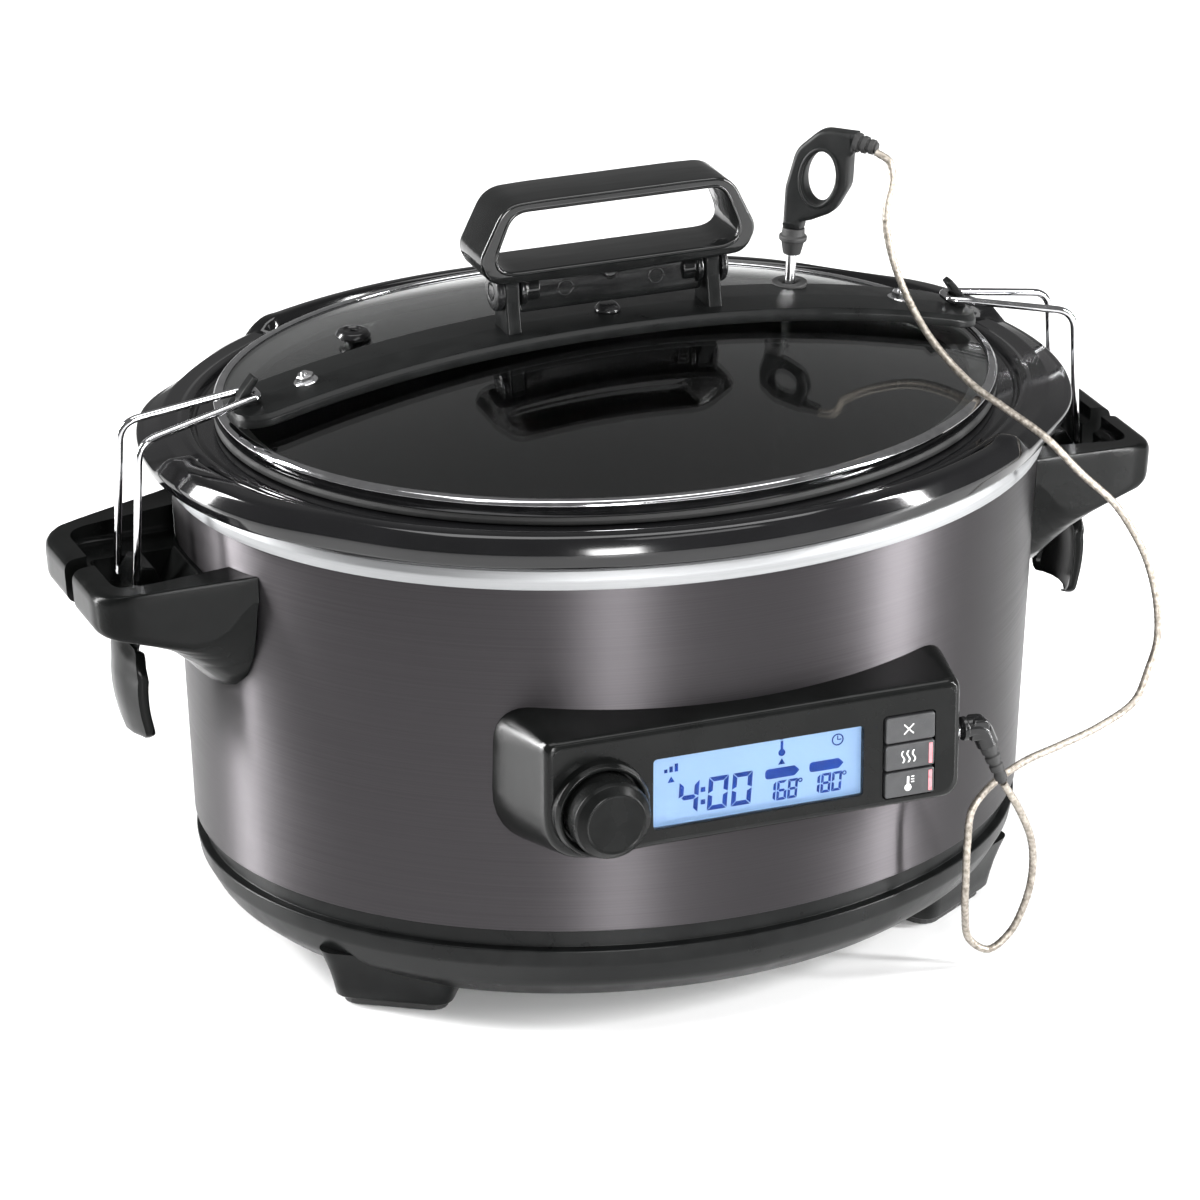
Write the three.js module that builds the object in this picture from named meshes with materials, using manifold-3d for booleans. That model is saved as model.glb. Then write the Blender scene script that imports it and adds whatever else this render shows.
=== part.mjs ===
// A slow cooker: an oval heated base with a digital control panel, a lift-out crock, a glass lid
// that two wire bails clip down, and a temperature probe whose cable plugs into the panel.
// Millimetres, +Z up. The origin is on the table, under the middle of the box that holds the cooker.
import * as THREE from "three";
import { mergeVertices } from "three/addons/utils/BufferGeometryUtils.js";
import Module from "manifold-3d";

const wasm = await Module();
wasm.setup();

// ---- driving dimensions -----------------------------------------------------------------------
const GAP = 0.3; // air between pieces that touch on the real cooker
const OVAL_SIDES = 36; // facets round every oval body
const ROUND_SIDES = 18; // facets round the dial's seat
const SMALL_SIDES = 12; // facets round pins, nuts and feet
const CURVE_SIDES = 2; // half the facets in each rounded corner of an outline

const PAN = { bottom: 7, top: 38, spigot: 49, wall: 3, spigotInset: 3.5 };
const FOOT = { x: 112, y: 66, length: 46, width: 25, turn: 33, top: 24, pad: 2.5 };
const GLAND = { x: 60, z: 30, radius: 5.5, bore: 3.2, front: 108, back: 141 };
const SHELL = { low: [164, 139, 46], high: [170.4, 142, 188.2], wall: 1.2 }; // [half X, half Y, Z]
const RING = { inner: 160.8, outer: 172, bottom: 188.6, top: 194, ovalness: 28 };
const CROCK = { bottom: 60, floor: 66, mouth: 147, flange: 182, under: 194.4, ledge: 204.5, top: 208 };
const LINER = { lowA: 149, highA: 157, lowZ: 57, highZ: 186.3, wall: 1, flange: 164.5 };
const LID = { rim: 153.3, bottom: 208.3, top: 214, dome: 235, glass: 3 };
const OVALNESS = 25; // half X less half Y, for the crock and everything that follows it
const FLANGE_OVALNESS = 30; // the same at the crock's outer edge
const SHIFT_Y = 8; // moves the oval's axis back, so that the whole cooker's box is centred

const BAR = { end: 152, halfWidth: 17, topZ: 240.5, drop: 19, power: 2.2, thick: 5, corner: 14 };
const NUT_X = 122;
const VENT = { x: -87, y: 45, stem: 3.5, cap: 6.5, bore: 1.2 };
const HOOK = { x: 146.5, z: 226, halfWidth: 2.6, height: 7.5 };
const WIRE = {
  radius: 1.5,
  bendX: 191.6,
  bendZ: 218,
  endX: 194.5,
  endZ: 157,
  halfY: 11.6,
  loopX: 141.5,
  loopY: 5.5,
};

const HANDLE = { inner: 160, outer: 217.6, halfY: 40, top: 169, bottom: 148, foot: 115, corner: 13 };
const POCKET = { inner: 170, outer: 205, halfY: 15, slotHalfY: 4 };
const LEVER = { x: 190, z: 153, pin: 2, headHalfY: 9.3, shankHalfY: 3, paddleHalfY: 14.5 };

const GRIP = {
  z: 254,
  ear: 41,
  earThick: 6,
  earRadius: 8,
  pin: 3,
  postBack: 5.5, // leaves room for the handle's foot when it lies back
  halfY: 12,
  topHalf: 40,
  wideHalf: 56,
  topZ: 292.5,
};

const PANEL = { front: -151, wall: 3, midX: -1, midZ: 111, halfX: 83, halfZ: 24, back: -108, corner: 6 };
const SCREEN = { halfX: 42, halfZ: 14, midZ: 108 };
const KEYS = { x: 60.6, width: 20, height: 10.3, pitch: 11.1, midZ: 107.4, proud: 1.3 };
const KNOB = { x: -63.5, z: 107, radius: 14, front: -168, back: -156, collar: 17.5, bulge: 21 };

const PROBE = {
  x: 81.5,
  y: 14,
  tilt: 4, // degrees from upright, top towards +X
  turn: -46, // degrees about its own axis
  shaft: 2,
  grommet: 7,
  tipBelow: 118,
  collarUp: 17,
  gripUp: 23,
  topUp: 65.4,
};
const PLUG = { x: 85.8, y: -142, z: 110, radius: 4.2 };
const JACK = { x0: 78, x1: 84.4, radius: 3.3, bore: 1.5 };
const CABLE_RADIUS = 1.4;

// The probe cable's route, from the probe's strain relief to the plug's, before the shift in Y.
const CABLE_ROUTE = [
  [105.8, -11.6, 294],
  [109.8, -15.5, 290.9],
  [110.4, -17, 284.6],
  [107, -20, 275],
  [105.3, -24, 266.5],
  [107.1, -32, 250],
  [112.8, -46, 231.5],
  [120.4, -68, 218.4],
  [127.5, -87, 212.8],
  [136, -105, 206.3],
  [148.5, -111, 192],
  [159.3, -116, 181],
  [167.5, -118, 168],
  [173, -119, 156],
  [176.4, -121, 141],
  [176.9, -122, 124],
  [172.5, -124, 113],
  [166.2, -126, 102],
  [150, -129.5, 95.5],
  [131.8, -133, 92],
  [115, -136, 89],
  [100.3, -139, 83],
  [92.2, -140.3, 75],
  [90.9, -139.6, 62],
  [91.2, -138.2, 46],
  [93.2, -134, 29],
  [97.5, -129, 15],
  [107, -127, 8],
  [115, -128, 14],
  [120, -130, 26],
  [121.5, -133, 40],
  [119.5, -136, 55],
  [112, -141, 71],
  [102.4, -145.4, 86.5],
];

// ---- solids -----------------------------------------------------------------------------------
const MERGE_DISTANCE = 1e-3;
const CLEAN_WITHIN = 0.02; // slivers that a join or cut leaves are closed up within this distance
const UP = new THREE.Vector3(0, 0, 1);

// A three.js geometry as a manifold-3d solid, with its faces turned outwards.
function solid(geometry) {
  const bare = new THREE.BufferGeometry();
  bare.setAttribute("position", geometry.attributes.position);
  bare.setIndex(geometry.index);
  const merged = mergeVertices(bare, MERGE_DISTANCE);
  const corners = merged.index.array;
  const kept = [];
  for (let i = 0; i < corners.length; i += 3) {
    const [a, b, c] = [corners[i], corners[i + 1], corners[i + 2]];
    if (a !== b && b !== c && c !== a) kept.push(a, b, c);
  }
  const build = (triangles) =>
    new wasm.Manifold(
      new wasm.Mesh({
        numProp: 3,
        vertProperties: merged.attributes.position.array,
        triVerts: new Uint32Array(triangles),
      }),
    );
  const made = build(kept);
  return made.volume() < 0 ? build(kept.reverse()) : made;
}

const join = (first, ...rest) => rest.reduce((a, b) => a.add(b), first);
const cut = (first, ...rest) => rest.reduce((a, b) => a.subtract(b), first);

// An oval body: rows of [half X, half Y, Z] go round its section. A first row at 0 closes it on the axis.
function oval(rows, sides = OVAL_SIDES) {
  const closed = rows[0][0] === 0 ? rows : [...rows, rows[0]];
  const profile = closed.map(([a, , z]) => new THREE.Vector2(a, z));
  const geometry = new THREE.LatheGeometry(profile, sides).rotateX(Math.PI / 2);
  const position = geometry.attributes.position;
  for (let i = 0; i < position.count; i++) {
    const [a, b] = closed[i % closed.length];
    if (a > 0) position.setY(i, (position.getY(i) * b) / a);
  }
  return solid(geometry);
}

// Rows whose two half-widths differ by a fixed ovalness, shrinking to nothing on the axis.
function rowsOf(points, ovalness = OVALNESS) {
  const scale = (a) => a * Math.min(1, a / CROCK.mouth);
  return points.map(([a, z]) => [a, a - (ovalness * scale(a)) / Math.max(a, 1), z]);
}

function box(x0, y0, z0, x1, y1, z1) {
  const geometry = new THREE.BoxGeometry(x1 - x0, y1 - y0, z1 - z0);
  return solid(geometry.translate((x0 + x1) / 2, (y0 + y1) / 2, (z0 + z1) / 2));
}

// A round bar from one point to another.
function rod(from, to, radius, sides = SMALL_SIDES, endRadius = radius) {
  const start = new THREE.Vector3(...from);
  const way = new THREE.Vector3(...to).sub(start);
  const geometry = new THREE.CylinderGeometry(endRadius, radius, way.length(), sides);
  geometry.rotateX(Math.PI / 2).translate(0, 0, way.length() / 2);
  const turn = new THREE.Quaternion().setFromUnitVectors(UP, way.clone().normalize());
  return solid(geometry.applyQuaternion(turn).translate(start.x, start.y, start.z));
}

// An outline drawn in X and Z, extruded along Y from front to back.
function frontSolid(shape, front, back, curveSides = CURVE_SIDES) {
  const geometry = new THREE.ExtrudeGeometry(shape, {
    depth: back - front,
    bevelEnabled: false,
    curveSegments: curveSides,
  });
  return solid(geometry.rotateX(Math.PI / 2).translate(0, back, 0));
}

// An outline drawn in X and Y, extruded along Z.
function flatSolid(shape, bottom, top) {
  const geometry = new THREE.ExtrudeGeometry(shape, {
    depth: top - bottom,
    bevelEnabled: false,
    curveSegments: CURVE_SIDES,
  });
  return solid(geometry.translate(0, 0, bottom));
}

function roundedRect(x0, y0, x1, y1, radius) {
  const shape = new THREE.Shape();
  shape.moveTo(x0 + radius, y0);
  shape.lineTo(x1 - radius, y0);
  shape.absarc(x1 - radius, y0 + radius, radius, -Math.PI / 2, 0);
  shape.lineTo(x1, y1 - radius);
  shape.absarc(x1 - radius, y1 - radius, radius, 0, Math.PI / 2);
  shape.lineTo(x0 + radius, y1);
  shape.absarc(x0 + radius, y1 - radius, radius, Math.PI / 2, Math.PI);
  shape.lineTo(x0, y0 + radius);
  shape.absarc(x0 + radius, y0 + radius, radius, Math.PI, 1.5 * Math.PI);
  return shape;
}

const polygon = (points) => new THREE.Shape(points.map(([x, y]) => new THREE.Vector2(x, y)));

function circleOf(radius, sides) {
  const corners = [];
  for (let i = 0; i < sides; i++) {
    const angle = (2 * Math.PI * i) / sides;
    corners.push([radius * Math.cos(angle), radius * Math.sin(angle)]);
  }
  return polygon(corners);
}

// A round section swept along a curve.
function swept(curve, radius, sides, steps) {
  return solid(
    new THREE.ExtrudeGeometry(circleOf(radius, sides), {
      extrudePath: curve,
      steps,
      bevelEnabled: false,
    }),
  );
}

// Straight runs joined by rounded corners, as bent wire has.
function bentPath(points, radius) {
  const path = new THREE.CurvePath();
  const corners = points.map((p) => new THREE.Vector3(...p));
  let from = corners[0];
  for (let i = 1; i < corners.length - 1; i++) {
    const before = corners[i - 1].clone().sub(corners[i]).setLength(radius).add(corners[i]);
    const after = corners[i + 1].clone().sub(corners[i]).setLength(radius).add(corners[i]);
    path.add(new THREE.LineCurve3(from, before));
    path.add(new THREE.QuadraticBezierCurve3(before, corners[i], after));
    from = after;
  }
  path.add(new THREE.LineCurve3(from, corners[corners.length - 1]));
  return path;
}

// ---- the scene graph --------------------------------------------------------------------------
const cooker = new THREE.Group();
cooker.position.y = SHIFT_Y;

const MATERIALS = {
  darkSteel: { color: 0x4a444b, roughness: 0.38, metalness: 0.9 },
  satinSteel: { color: 0xb9bbbd, roughness: 0.4, metalness: 0.9 },
  chrome: { color: 0xd8dadc, roughness: 0.12, metalness: 1 },
  blackPlastic: { color: 0x17181a, roughness: 0.5, metalness: 0 },
  glossPlastic: { color: 0x101113, roughness: 0.2, metalness: 0 },
  glaze: { color: 0x0a0a0b, roughness: 0.08, metalness: 0 },
  glass: { color: 0xdfe8ea, roughness: 0.03, metalness: 0 },
  rubber: { color: 0x1b1b1c, roughness: 0.85, metalness: 0 },
  braid: { color: 0xb8aea2, roughness: 0.45, metalness: 0.8 },
  display: { color: 0x9fc6ee, roughness: 0.3, metalness: 0 },
  board: { color: 0x1f5a38, roughness: 0.6, metalness: 0 },
  aluminium: { color: 0xc3c6c8, roughness: 0.5, metalness: 0.9 },
};

function addPiece(name, shape, material) {
  const made = shape.simplify(CLEAN_WITHIN).getMesh();
  const geometry = new THREE.BufferGeometry();
  geometry.setAttribute("position", new THREE.BufferAttribute(made.vertProperties.slice(), 3));
  geometry.setIndex(new THREE.BufferAttribute(made.triVerts.slice(), 1));
  const flat = geometry.toNonIndexed();
  flat.computeVertexNormals();
  const mesh = new THREE.Mesh(flat, new THREE.MeshStandardMaterial(MATERIALS[material]));
  mesh.name = name;
  cooker.add(mesh);
}

const SIDES_OF_COOKER = [
  ["left", -1],
  ["right", 1],
];
const mirrored = (shape, side) => (side < 0 ? shape.mirror([1, 0, 0]) : shape);

// The shell's half-widths at a height, less an inset.
function shellRow(z, inset) {
  const [a0, b0, z0] = SHELL.low;
  const [a1, b1, z1] = SHELL.high;
  const share = (z - z0) / (z1 - z0);
  return [a0 + (a1 - a0) * share - inset, b0 + (b1 - b0) * share - inset, z];
}

// ---- base -------------------------------------------------------------------------------------

function footBlock(x, y, length, width, bottom, top) {
  const block = flatSolid(roundedRect(-length / 2, -width / 2, length / 2, width / 2, 6), bottom, top);
  const turn = Math.sign(x * y) * -FOOT.turn;
  return block.rotate([0, 0, turn]).translate([x, y, 0]);
}

// The pan's rows, from its floor up to the spigot that stands inside the shell.
const PAN_OUTSIDE = [
  [133, 108, PAN.bottom],
  [145, 120, 11],
  [156, 131, 21],
  [162, 137, 31],
  [163.5, 138.5, PAN.top],
  shellRow(PAN.top, PAN.spigotInset),
  shellRow(PAN.spigot, PAN.spigotInset),
];
const PAN_INSIDE = PAN_OUTSIDE.map(([a, b, z]) => {
  const height = z < PAN.top ? z + PAN.wall : z - PAN.wall;
  return [a - PAN.wall, b - PAN.wall, z < PAN.spigot ? height : z + 1];
});

function makePan() {
  let pan = oval([[0, 0, PAN.bottom], ...PAN_OUTSIDE, [0, 0, PAN.spigot]]);
  for (const [label, side] of SIDES_OF_COOKER)
    for (const [end, way] of [
      ["front", -1],
      ["rear", 1],
    ]) {
      const [x, y] = [side * FOOT.x, way * FOOT.y];
      pan = join(pan, footBlock(x, y, FOOT.length, FOOT.width, FOOT.pad + GAP, FOOT.top));
      const pad = footBlock(x, y, FOOT.length - 6, FOOT.width - 6, 0, FOOT.pad);
      addPiece(`foot_pad_${end}_${label}`, pad, "rubber");
    }
  const hollow = oval([[0, 0, PAN.bottom + PAN.wall], ...PAN_INSIDE, [0, 0, PAN.spigot + 1]]);
  const { x, z, radius, bore, front, back } = GLAND;
  pan = cut(pan, hollow, rod([x, front, z], [x, back, z], radius + GAP));
  addPiece("base_pan", pan, "blackPlastic");
  const stem = rod([x, front + 8, z], [x, back, z], radius);
  addPiece("cord_gland", cut(stem, rod([x, front, z], [x, back + 1, z], bore)), "rubber");
}

function makeShell() {
  addPiece("outer_shell", shellTube(SHELL.low[2] + GAP, SHELL.high[2]), "darkSteel");
  const { inner, outer, bottom, top, ovalness } = RING;
  const rows = [
    [inner, bottom],
    [outer, bottom],
    [outer + 0.6, bottom + 2.5],
    [outer - 0.8, top],
    [inner, top],
  ];
  addPiece("rim_ring", oval(rows.map(([a, z]) => [a, a - ovalness, z])), "satinSteel");
}

function shellTube(bottom, top) {
  return oval([
    shellRow(bottom, 0),
    shellRow(top, 0),
    shellRow(top, SHELL.wall),
    shellRow(bottom, SHELL.wall),
  ]);
}

// The room that the shell takes, with the gap, for the pieces that are cut to sit against it.
function shellRoom() {
  const low = PAN.top;
  const high = SHELL.high[2];
  return oval([[0, 0, low], shellRow(low, -GAP), shellRow(high, -GAP), [0, 0, high]]);
}

// ---- heating ----------------------------------------------------------------------------------
const linerA = (z) =>
  LINER.lowA + ((LINER.highA - LINER.lowA) * (z - LINER.lowZ)) / (LINER.highZ - LINER.lowZ);

function makeHeating() {
  const { lowZ, highZ, wall, flange } = LINER;
  const corner = 12;
  const liner = [
    [0, lowZ],
    [linerA(lowZ) - corner, lowZ],
    [linerA(lowZ + corner), lowZ + corner],
    [linerA(highZ), highZ],
    [flange, highZ],
    [flange, highZ + wall],
    [linerA(highZ) - wall, highZ + wall],
    [linerA(lowZ + corner) - wall, lowZ + corner],
    [linerA(lowZ) - corner, lowZ + wall],
    [0, lowZ + wall],
  ];
  addPiece("cooking_liner", oval(rowsOf(liner)), "aluminium");
  const band = { low: 82, high: 136, off: 0.5, thick: 2 };
  const bandRows = [
    [linerA(band.low) + band.off, band.low],
    [linerA(band.low) + band.off + band.thick, band.low],
    [linerA(band.high) + band.off + band.thick, band.high],
    [linerA(band.high) + band.off, band.high],
  ];
  addPiece("heating_band", oval(rowsOf(bandRows)), "aluminium");
  const sensor = { low: lowZ - 8, radius: 11, cup: 7 };
  addPiece("temperature_sensor", rod([0, 0, sensor.low], [0, 0, lowZ - GAP], sensor.radius), "aluminium");
  const cup = rod([0, 0, PAN.bottom + PAN.wall + GAP], [0, 0, sensor.low - GAP], sensor.cup);
  addPiece("sensor_spring_cup", cup, "satinSteel");
  const board = { x0: -95, x1: -25, halfY: 30, z: 26, thick: 1.6 };
  const relay = { x0: -70, x1: -45, halfY: 10, z: board.z + board.thick + GAP, height: 14 };
  for (const [name, b, height, material] of [
    ["power_board", board, board.thick, "board"],
    ["power_relay", relay, relay.height, "glossPlastic"],
  ])
    addPiece(name, box(b.x0, -b.halfY, b.z, b.x1, b.halfY, b.z + height), material);
}

// ---- crock ------------------------------------------------------------------------------------
function makeCrock() {
  const { bottom, floor, mouth, flange, under, ledge, top } = CROCK;
  const wallFoot = mouth - 9;
  const inside = [
    [0, floor],
    [wallFoot - 16, floor],
    [wallFoot - 3, floor + 8],
    [mouth - 1, ledge - 6],
    [mouth, ledge],
  ];
  const rim = [
    [160, ledge],
    [166, ledge - 1],
    [170, top - 1],
    [174, top],
    [179, top - 2],
    [flange, top - 6.5],
    [flange - 1.5, under + 1.5],
    [flange - 4, under],
  ];
  const outside = [
    [154.3, under],
    [wallFoot + 7, bottom + 14],
    [wallFoot - 4, bottom + 2],
    [wallFoot - 14, bottom],
    [0, bottom],
  ];
  const rimRows = rim.map(([a, z]) => {
    const share = (a - mouth) / (flange - mouth);
    return [a, a - OVALNESS - (FLANGE_OVALNESS - OVALNESS) * share, z];
  });
  addPiece("crock", oval([...rowsOf(inside), ...rimRows, ...rowsOf(outside)]), "glaze");
}

// ---- lid --------------------------------------------------------------------------------------
const domeZ = (share, drop = 0) => LID.top + (LID.dome - LID.top) * (1 - share * share) - drop;
const barTopZ = (x) => BAR.topZ - BAR.drop * Math.pow(Math.abs(x) / BAR.end, BAR.power);

function makeGlass() {
  const { rim, bottom, top, glass } = LID;
  const edge = rim - 3.2;
  const shares = [0.3, 0.55, 0.75, 0.9, 1];
  const upper = shares.map((s) => [s * edge, s * (edge - OVALNESS), domeZ(s, 0.4)]);
  const lower = upper.map(([a, b, z]) => [a, b, z - glass]).reverse();
  let dome = oval([[0, 0, domeZ(0, 0.4)], ...upper, ...lower, [0, 0, domeZ(0, 0.4) - glass]]);
  dome = cut(dome, rod([PROBE.x, PROBE.y, top], [PROBE.x, PROBE.y, LID.dome], PROBE.grommet + GAP));
  dome = cut(dome, rod([VENT.x, VENT.y, top], [VENT.x, VENT.y, LID.dome], VENT.stem + GAP));
  addPiece("lid_glass", dome, "glass");

  const rimRows = [
    [edge + GAP, bottom],
    [rim - 0.6, bottom],
    [rim, bottom + 1.5],
    [rim, top - 1],
    [rim - 1.2, top],
    [edge + GAP, top],
  ];
  addPiece("lid_rim", oval(rowsOf(rimRows)), "chrome");
  const gasket = { inner: edge - 8, outer: rim - 0.4, low: CROCK.ledge + GAP, high: bottom - GAP };
  const gasketRows = [
    [gasket.inner, gasket.low],
    [gasket.outer, gasket.low],
    [gasket.outer, gasket.high],
    [gasket.inner, gasket.high],
  ];
  addPiece("lid_gasket", oval(rowsOf(gasketRows)), "rubber");
}

function makeBar() {
  const { end, halfWidth, thick, corner } = BAR;
  const steps = 12;
  const top = [];
  const under = [];
  for (let i = 0; i <= steps; i++) {
    const x = -end + (2 * end * i) / steps;
    top.push([x, barTopZ(x)]);
    under.push([x, barTopZ(x) - thick]);
  }
  const arch = frontSolid(polygon([...top, ...under.reverse()]), -halfWidth, halfWidth);
  const plan = roundedRect(-end, -halfWidth, end, halfWidth, corner);
  let bar = arch.intersect(flatSolid(plan, LID.top - 10, BAR.topZ + 10));

  const { z, ear, earThick, earRadius } = GRIP;
  for (const side of [-1, 1]) {
    const x0 = side * ear - earThick / 2;
    const x1 = side * ear + earThick / 2;
    const post = box(x0, -earRadius, barTopZ(ear) - 3, x1, GRIP.postBack, z);
    bar = join(bar, post, rod([x0, 0, z], [x1, 0, z], earRadius));
    bar = cut(bar, rod([x0 - 1, 0, z], [x1 + 1, 0, z], GRIP.pin + GAP));
  }
  for (const side of [-1, 1]) {
    const { x, z: hookZ, halfWidth: half, height } = HOOK;
    const tab = [
      [x - 1, hookZ - 5],
      [x + 3, hookZ - 5],
      [x + 2, hookZ + 2],
      [x - 4, hookZ + height],
      [x - 5.5, hookZ + height - 1.5],
      [x - 1, hookZ + 1],
    ];
    bar = join(bar, mirrored(frontSolid(polygon(tab), -half, half), side));
  }
  const well = rod([PROBE.x, PROBE.y, 220], [PROBE.x, PROBE.y, 250], PROBE.grommet + GAP);
  const screw = rod([0, 0, 220], [0, 0, 250], 3 + GAP);
  const nuts = [-NUT_X, NUT_X].map((x) => rod([x, 0, 215], [x, 0, 245], 1.8));
  addPiece("lid_bar", cut(bar, well, screw, ...nuts), "blackPlastic");
}

function makeLidFasteners() {
  for (const [label, side] of SIDES_OF_COOKER) {
    const x = side * NUT_X;
    const seat = barTopZ(NUT_X) + 0.9;
    const nut = rod([x, 0, seat], [x, 0, seat + 2.4], 3.6, 6);
    const stud = rod([x, 0, domeZ(NUT_X / LID.rim, 0.2) + 0.6], [x, 0, seat + 3.4], 1.5);
    addPiece(`bar_nut_${label}`, join(nut, stud), "satinSteel");
    const { z, ear, earThick, pin } = GRIP;
    const outer = ear + earThick / 2 + GAP;
    const disc = rod([side * outer, 0, z], [side * (outer + 3), 0, z], 7.6);
    const shank = rod([side * 33, 0, z], [side * (outer + 1), 0, z], pin);
    addPiece(`handle_pin_${label}`, join(disc, shank), "glossPlastic");
  }
  const seat = BAR.topZ + GAP;
  const dome = rod([0, 0, seat], [0, 0, seat + 2.6], 5, SMALL_SIDES, 3);
  const stem = rod([0, 0, LID.dome], [0, 0, seat + 1], 3);
  addPiece("bar_centre_screw", join(dome, stem), "blackPlastic");

  const { x, y, cap, bore } = VENT;
  const share = Math.hypot(x / (LID.rim - 3.2), y / (LID.rim - 3.2 - OVALNESS));
  const glassZ = domeZ(share, 0.4);
  const plug = join(
    rod([x, y, glassZ - 8], [x, y, glassZ + 2.5], VENT.stem),
    rod([x, y, glassZ + 2], [x, y, glassZ + 5], cap, SMALL_SIDES, cap - 2),
  );
  addPiece("vent_grommet", cut(plug, rod([x, y, glassZ - 9], [x, y, glassZ + 6], bore, 8)), "rubber");

  const wellTop = barTopZ(PROBE.x) + 1;
  const grommet = rod([PROBE.x, PROBE.y, wellTop - 12], [PROBE.x, PROBE.y, wellTop], PROBE.grommet);
  const shaftRoom = tiltedProbe(rod([0, 0, -60], [0, 0, 60], PROBE.shaft + GAP));
  addPiece("probe_grommet", cut(grommet, shaftRoom), "rubber");
}

// ---- folding lid handle -----------------------------------------------------------------------
function makeLidHandle() {
  const { z, halfY, topHalf, wideHalf, topZ, ear, earThick } = GRIP;
  const outer = new THREE.Shape();
  const lowZ = z + 6.5;
  outer.moveTo(-wideHalf + 12, lowZ);
  outer.quadraticCurveTo(0, lowZ - 1.5, wideHalf - 12, lowZ);
  outer.quadraticCurveTo(wideHalf + 2, lowZ + 1, wideHalf, lowZ + 12);
  outer.lineTo(topHalf + 7, topZ - 11);
  outer.quadraticCurveTo(topHalf + 3, topZ, topHalf - 8, topZ);
  outer.lineTo(-topHalf + 8, topZ);
  outer.quadraticCurveTo(-topHalf - 3, topZ, -topHalf - 7, topZ - 11);
  outer.lineTo(-wideHalf, lowZ + 12);
  outer.quadraticCurveTo(-wideHalf - 2, lowZ + 1, -wideHalf + 12, lowZ);
  const windowLow = lowZ + 4.5;
  const windowHigh = topZ - 4.2;
  const opening = new THREE.Shape();
  opening.moveTo(-44, windowLow);
  opening.lineTo(44, windowLow);
  opening.quadraticCurveTo(53, windowLow, 52, windowLow + 8);
  opening.lineTo(43.5, windowHigh - 6);
  opening.quadraticCurveTo(42.5, windowHigh, 36, windowHigh);
  opening.lineTo(-36, windowHigh);
  opening.quadraticCurveTo(-42.5, windowHigh, -43.5, windowHigh - 6);
  opening.lineTo(-52, windowLow + 8);
  opening.quadraticCurveTo(-53, windowLow, -44, windowLow);
  const loop = cut(frontSolid(outer, -halfY, halfY), frontSolid(opening, -halfY - 1, halfY + 1));
  const webHalf = ear - earThick / 2 - 0.6;
  const web = box(-webHalf, -3.6, z - 9, webHalf, 3.6, lowZ + 3);
  const barrel = rod([-webHalf, 0, z], [webHalf, 0, z], 6.5);
  const bore = [-1, 1].map((side) => rod([side * 32, 0, z], [side * 45, 0, z], GRIP.pin + GAP));
  const earRoom = [-1, 1].map((side) => {
    const x = side * ear;
    const half = earThick / 2 + 0.5;
    return rod([x - half, 0, z], [x + half, 0, z], GRIP.earRadius + 0.6);
  });
  const discRoom = [-1, 1].map((side) => {
    const x = side * (ear + earThick / 2);
    return rod([x, 0, z], [x + side * 4, 0, z], 8.1);
  });
  const grip = cut(join(loop, web, barrel), ...bore, ...earRoom, ...discRoom);
  addPiece("lid_handle", grip, "blackPlastic");
}

// ---- side handles, levers and bails -----------------------------------------------------------
function makeSideHandle(label, side, room) {
  const { inner, outer, halfY, top, bottom, foot, corner } = HANDLE;
  const arms = new THREE.Shape();
  arms.moveTo(inner - 30, -halfY - 10);
  arms.lineTo(inner, -halfY - 4);
  arms.lineTo(outer - corner, -halfY);
  arms.absarc(outer - corner, -halfY + corner, corner, -Math.PI / 2, 0);
  arms.absarc(outer - corner, halfY - corner, corner, 0, Math.PI / 2);
  arms.lineTo(inner, halfY + 4);
  arms.lineTo(inner - 30, halfY + 10);
  const bracket = [
    [inner - 30, foot],
    [inner + 9, foot],
    [inner + 17, foot + 12],
    [inner + 25, bottom + 0.5],
    [inner - 30, bottom + 0.5],
  ];
  const body = join(flatSolid(arms, bottom, top), frontSolid(polygon(bracket), -halfY - 2, halfY + 2));
  const pocket = flatSolid(
    roundedRect(POCKET.inner, -POCKET.halfY, POCKET.outer, POCKET.halfY, 4),
    foot - 5,
    top + 5,
  );
  const { slotHalfY } = POCKET;
  const slot = box(POCKET.outer - 1, -slotHalfY, bottom - 5, outer + 5, slotHalfY, top + 5);
  const holeHalf = POCKET.halfY + 6;
  const pinHole = rod([LEVER.x, -holeHalf, LEVER.z], [LEVER.x, holeHalf, LEVER.z], LEVER.pin + GAP);
  const tray = flatSolid(roundedRect(inner - 20, -halfY + 9, POCKET.outer, halfY - 9, 6), top - 6, top + 5);
  const handle = cut(mirrored(cut(body, pocket, slot, pinHole, tray), side), room);
  addPiece(`side_handle_${label}`, largest(handle), "blackPlastic");
  const pinHalf = POCKET.halfY + 5;
  const pin = rod([side * LEVER.x, -pinHalf, LEVER.z], [side * LEVER.x, pinHalf, LEVER.z], LEVER.pin);
  addPiece(`lever_pin_${label}`, pin, "satinSteel");
}

// The biggest of the bodies that a cut leaves.
function largest(shape) {
  return shape.decompose().reduce((a, b) => (a.volume() > b.volume() ? a : b));
}

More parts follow.
